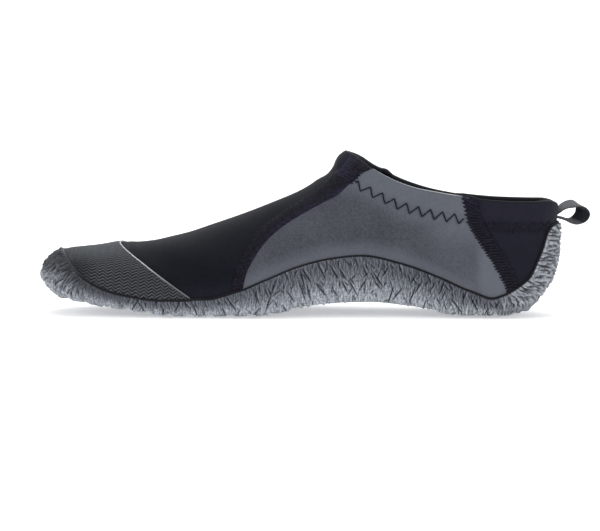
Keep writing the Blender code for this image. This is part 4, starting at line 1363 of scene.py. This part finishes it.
def bed_side(side):
    """Skin's underside plus (gap + foam, rounded down towards the border) upwards, and plus a smooth
    step backwards at the heel."""
    angles = -np.arccos(np.clip(bed_share * bed_across, 0.0, 1.0) ** (LOWER_POWER / 2))
    base = skin(side, bed_stations, angles)
    rounded = round_off(1.0 - bed_across, 0.06, 2.0)
    base[..., 2] += BED_GAP + BED_FOAM * rounded
    base[..., 0] += BED_SET_BACK * smooth_step((bed_stations - 235.0) / 36.0)
    return base


footbed_knit = knit_neoprene("nylon_jersey_footbed", "#1d1f23", "#33363b", "#33363b", 0.1)
bed_halves = {side: bed_side(side) for side in SIDES}
bed_halves["lateral"][:, 0] = bed_halves["medial"][:, 0]
footbed = piece(
    "foam_footbed_pad",
    [patch(p, turned=side == "medial", flat=p[..., :2]) for side, p in bed_halves.items()],
    [footbed_knit], ["insole"],
)

# %% [markdown]
# The pull loop
#
# A loop of grey polypropylene tape is sewn into the back of the collar. It is twisted, so its side
# view shows two edges that swing apart, and one flat profile carried along one path would miss that.
# Instead a table gives both edges as the photograph shows them, and the tape's width says how far
# apart they lie across the shoe. The inner face is darker where little light reaches it.

# %% Woven polypropylene tape
RIB_GAP, WARP_GAP = 1.1, 1.6


def woven_tape(name, low, high):
    """Plain weave with ribs across the tape about 1.1 mm apart and darker gaps between them."""
    material, tree, shader = finish(
        name, Roughness=0.7, IOR=1.49, Sheen_Weight=0.1, Specular_IOR_Level=0.2,
    )
    flat = add(tree, "ShaderNodeUVMap", uv_map="flat").outputs["UV"]
    even = {"Vector": flat, "Distortion": 0.3}
    ribs, warps = (
        add(tree, "ShaderNodeTexWave", {"Scale": WAVE_REPEAT / gap, **even}, bands_direction=way)
        for way, gap in (("X", RIB_GAP), ("Y", WARP_GAP))
    )
    crossed = {0: ribs.outputs["Fac"], 1: warps.outputs["Fac"]}
    weave = add(tree, "ShaderNodeMath", crossed, operation="ADD").outputs[0]
    half = add(tree, "ShaderNodeMath", {0: weave, 1: 0.5}, operation="MULTIPLY").outputs[0]
    over = {"Factor": half, "A": linear(low), "B": linear(high)}
    tone = add(tree, "ShaderNodeMix", over, data_type="RGBA")
    tree.links.new(tone.outputs["Result"], shader.inputs["Base Color"])
    bump = add(tree, "ShaderNodeBump", {"Height": half, "Strength": 0.6, "Distance": 0.0004})
    tree.links.new(bump.outputs["Normal"], shader.inputs["Normal"])
    return material


tape_finishes = [
    woven_tape("polypropylene_webbing_grey", "#38393e", "#606166"),
    # Painted shade: the darker tape goes on the inner face, where little light reaches it
    woven_tape("polypropylene_webbing_painted_shade", "#0f1116", "#23262c"),
]
print("made", " and ".join(look.name for look in tape_finishes))

# %% The loop from its two edges
LOOP_WIDTH, LOOP_THICKNESS, LOOP_HEIGHT = 10.0, 1.2, 55.2
# The tape's two edges from its upper end round to its lower end: reach behind the heel and rise
LOOP_COLUMNS = ("place", "near_reach", "near_rise", "far_reach", "far_rise")
LOOP_EDGES = (
    (0.00, -1.4, -1.3, -1.4, 2.0), (0.05, 1.0, 0.2, 0.6, 2.8), (0.12, 3.0, 1.7, 2.4, 4.5),
    (0.20, 5.2, 2.6, 4.8, 5.9), (0.28, 7.8, 2.9, 7.4, 6.6), (0.36, 10.6, 3.4, 9.4, 6.0),
    (0.43, 13.6, 3.2, 10.3, 4.4), (0.49, 16.2, 1.7, 10.4, 2.3), (0.54, 17.4, -0.6, 10.0, 0.4),
    (0.60, 16.6, -3.2, 9.1, -1.3), (0.67, 13.8, -5.3, 7.8, -2.6), (0.75, 10.4, -6.1, 6.4, -3.4),
    (0.83, 7.2, -5.3, 4.8, -3.4), (0.91, 3.8, -3.6, 2.8, -2.8), (0.96, 1.2, -2.8, 0.9, -2.5),
    (1.00, -1.4, -2.2, -1.4, -2.1),
)
place = np.linspace(0.0, 1.0, 141)
# Each edge is smoothed by a bell of 13 points, except for its ends
soft = np.hanning(13) / np.hanning(13).sum()
margin = len(soft) // 2
ways = []
for name in LOOP_COLUMNS[1:]:
    way = curve_through(LOOP_EDGES, LOOP_COLUMNS, name, place)
    ways.append(np.concatenate([way[:margin], np.convolve(way, soft, mode="valid"), way[-margin:]]))
near, far = np.stack(ways[:2], axis=-1), np.stack(ways[2:], axis=-1)
apart = np.sqrt(LOOP_WIDTH**2 - np.sum((far - near) ** 2, axis=-1))
root = skin("medial", HEEL_STATION, angle_at(HEEL_STATION, LOOP_HEIGHT))
middle = (near + far) / 2
line = np.stack([root[0] + middle[:, 0], root[1] + 0 * place, LOOP_HEIGHT + middle[:, 1]], axis=-1)
across = unit(np.stack([far[:, 0] - near[:, 0], apart, far[:, 1] - near[:, 1]], axis=-1))
outward = unit(np.cross(np.gradient(line, axis=0), across))
corner = np.linspace(0.0, 2 * np.pi, 33)
wide = np.sign(np.cos(corner)) * np.abs(np.cos(corner)) ** 0.35 * LOOP_WIDTH / 2
thick = np.sign(np.sin(corner)) * np.abs(np.sin(corner)) ** 0.6 * LOOP_THICKNESS / 2
tape = line[:, None] + wide[:, None] * across[:, None] + thick[:, None] * outward[:, None]
tape[:, -1] = tape[:, 0]
length = np.cumsum(np.linalg.norm(np.diff(line, axis=0, prepend=line[:1]), axis=-1))
tape_flat = np.stack(np.broadcast_arrays(length[:, None], wide), axis=-1)
# Painted shade on the inner face towards the loop's far end
shaded = (place[1:] > 0.36) & (place[1:] < 0.69)
inner_face = shaded[:, None] & (np.sin((corner[1:] + corner[:-1]) / 2) < 0)
piece(
    "webbing_loop", [patch(tape, flat=tape_flat, paint=inner_face.astype(int))], tape_finishes,
    ["pull_loop"],
)

# %% [markdown]
# Floor, light and camera
#
# The photograph is a plain product shot: white ground, broad soft light from above. A large sweep of
# pale paper, bent up behind the shoe and far in front of it, gives the ground without a horizon
# line from any side. Four large area lights give the softness, and a long lens from 1.5 m gives the
# flat perspective.

# %% A pale sweep under the shoe
SWEEP_FRONT, FRONT_BEND, SWEEP_BACK, BACK_BEND, SWEEP_TOP, SWEEP_SIDE = -5.0, 1.5, 1.2, 0.8, 4.0, 7.0


def pale_paper():
    """Matte seamless paper, almost white, with the faintest cloud of tone and a slight glow, so that
    it stays white beside the shoe."""
    material, tree, shader = finish(
        "seamless_paper_white", Roughness=0.9, Emission_Color=linear("#ffffff"), Emission_Strength=0.35,
    )
    place = add(tree, "ShaderNodeTexCoord").outputs["Object"]
    cloud = add(tree, "ShaderNodeTexNoise", {"Vector": place, "Scale": 1.5, "Detail": 2.0})
    over = {"Factor": cloud.outputs["Fac"], "A": linear("#f4f4f4"), "B": linear("#fafafa")}
    tone = add(tree, "ShaderNodeMix", over, data_type="RGBA")
    tree.links.new(tone.outputs["Result"], shader.inputs["Base Color"])
    return material


bend = np.linspace(0.0, np.pi / 2, 25)
rise = bend[::-1]
sweep_y = np.concatenate([
    [SWEEP_FRONT - FRONT_BEND], SWEEP_FRONT - FRONT_BEND * np.sin(rise), [0.0],
    SWEEP_BACK + BACK_BEND * np.sin(bend), [SWEEP_BACK + BACK_BEND],
])
sweep_z = np.concatenate([
    [SWEEP_TOP], FRONT_BEND * (1 - np.cos(rise)), [0.0], BACK_BEND * (1 - np.cos(bend)), [SWEEP_TOP],
])
sweep_x = np.linspace(-SWEEP_SIDE, SWEEP_SIDE, 15)
sweep = np.stack(np.broadcast_arrays(sweep_x[:, None], sweep_y, sweep_z), axis=-1)
quads = grid_quads(np.arange(sweep[..., 0].size).reshape(sweep.shape[:2])).reshape(-1, 4)
paper = bpy.data.meshes.new("paper_sweep")
paper.from_pydata(sweep.reshape(-1, 3), [], quads.tolist())
paper.materials.append(pale_paper())
paper.shade_smooth()
floor = bpy.data.objects.new("paper_sweep", paper)
bpy.context.scene.collection.objects.link(floor)
print("quads in the sweep:", len(quads))

# %% Soft lights
WORLD_STRENGTH = 0.345


def softbox(name, place, aim, size, power):
    """A square area light at a place, turned so that its -Z looks at the aim."""
    lamp = bpy.data.lights.new(name, "AREA")
    lamp.shape, lamp.size, lamp.energy = "SQUARE", size, power
    made = bpy.data.objects.new(name, lamp)
    made.location = place
    way = np.array(aim) - np.array(place)
    tilt, heading = math.atan2(math.hypot(way[0], way[1]), -way[2]), math.atan2(-way[0], way[1])
    made.rotation_euler = (tilt, 0.0, heading)
    bpy.context.scene.collection.objects.link(made)


softbox("light_over", place=(0.0, -0.1, 1.6), aim=(0.0, 0.0, 0.0), size=1.6, power=10.0)
softbox("light_back", place=(0.0, 0.5, 2.0), aim=(0.0, 2.0, 0.7), size=1.6, power=16.0)
softbox("light_left", place=(-1.3, -1.2, 1.0), aim=(0.0, 0.0, 0.04), size=1.2, power=10.0)
softbox("light_right", place=(1.4, -1.3, 0.8), aim=(0.0, 0.0, 0.04), size=1.2, power=7.0)
world = bpy.data.worlds.new("studio")
world.use_nodes = True
background = world.node_tree.nodes["Background"]
background.inputs["Color"].default_value = linear("#ffffff")
background.inputs["Strength"].default_value = WORLD_STRENGTH
bpy.context.scene.world = world
bpy.context.scene.view_settings.view_transform = "Standard"

# %% Camera at the photograph's angle
DISTANCE, ELEVATION, ROLL = 1.5, math.radians(4.0), math.radians(-0.52)
SENSOR_WIDTH, FOCAL_LENGTH = 36.0, 166.5
aim = np.array([-0.0097, 0.0, 0.0251])
lens = bpy.data.cameras.new("camera")
lens.sensor_fit, lens.sensor_width, lens.lens = "HORIZONTAL", SENSOR_WIDTH, FOCAL_LENGTH
lens.clip_start, lens.clip_end = 0.01, 50.0
camera = bpy.data.objects.new("camera", lens)
camera.location = aim + DISTANCE * np.array([0.0, -math.cos(ELEVATION), math.sin(ELEVATION)])
camera.rotation_mode = "XYZ"
camera.rotation_euler = (math.pi / 2 - ELEVATION, ROLL, 0.0)
bpy.context.scene.collection.objects.link(camera)
bpy.context.scene.camera = camera
print("camera at", np.round(camera.location, 3), "m")
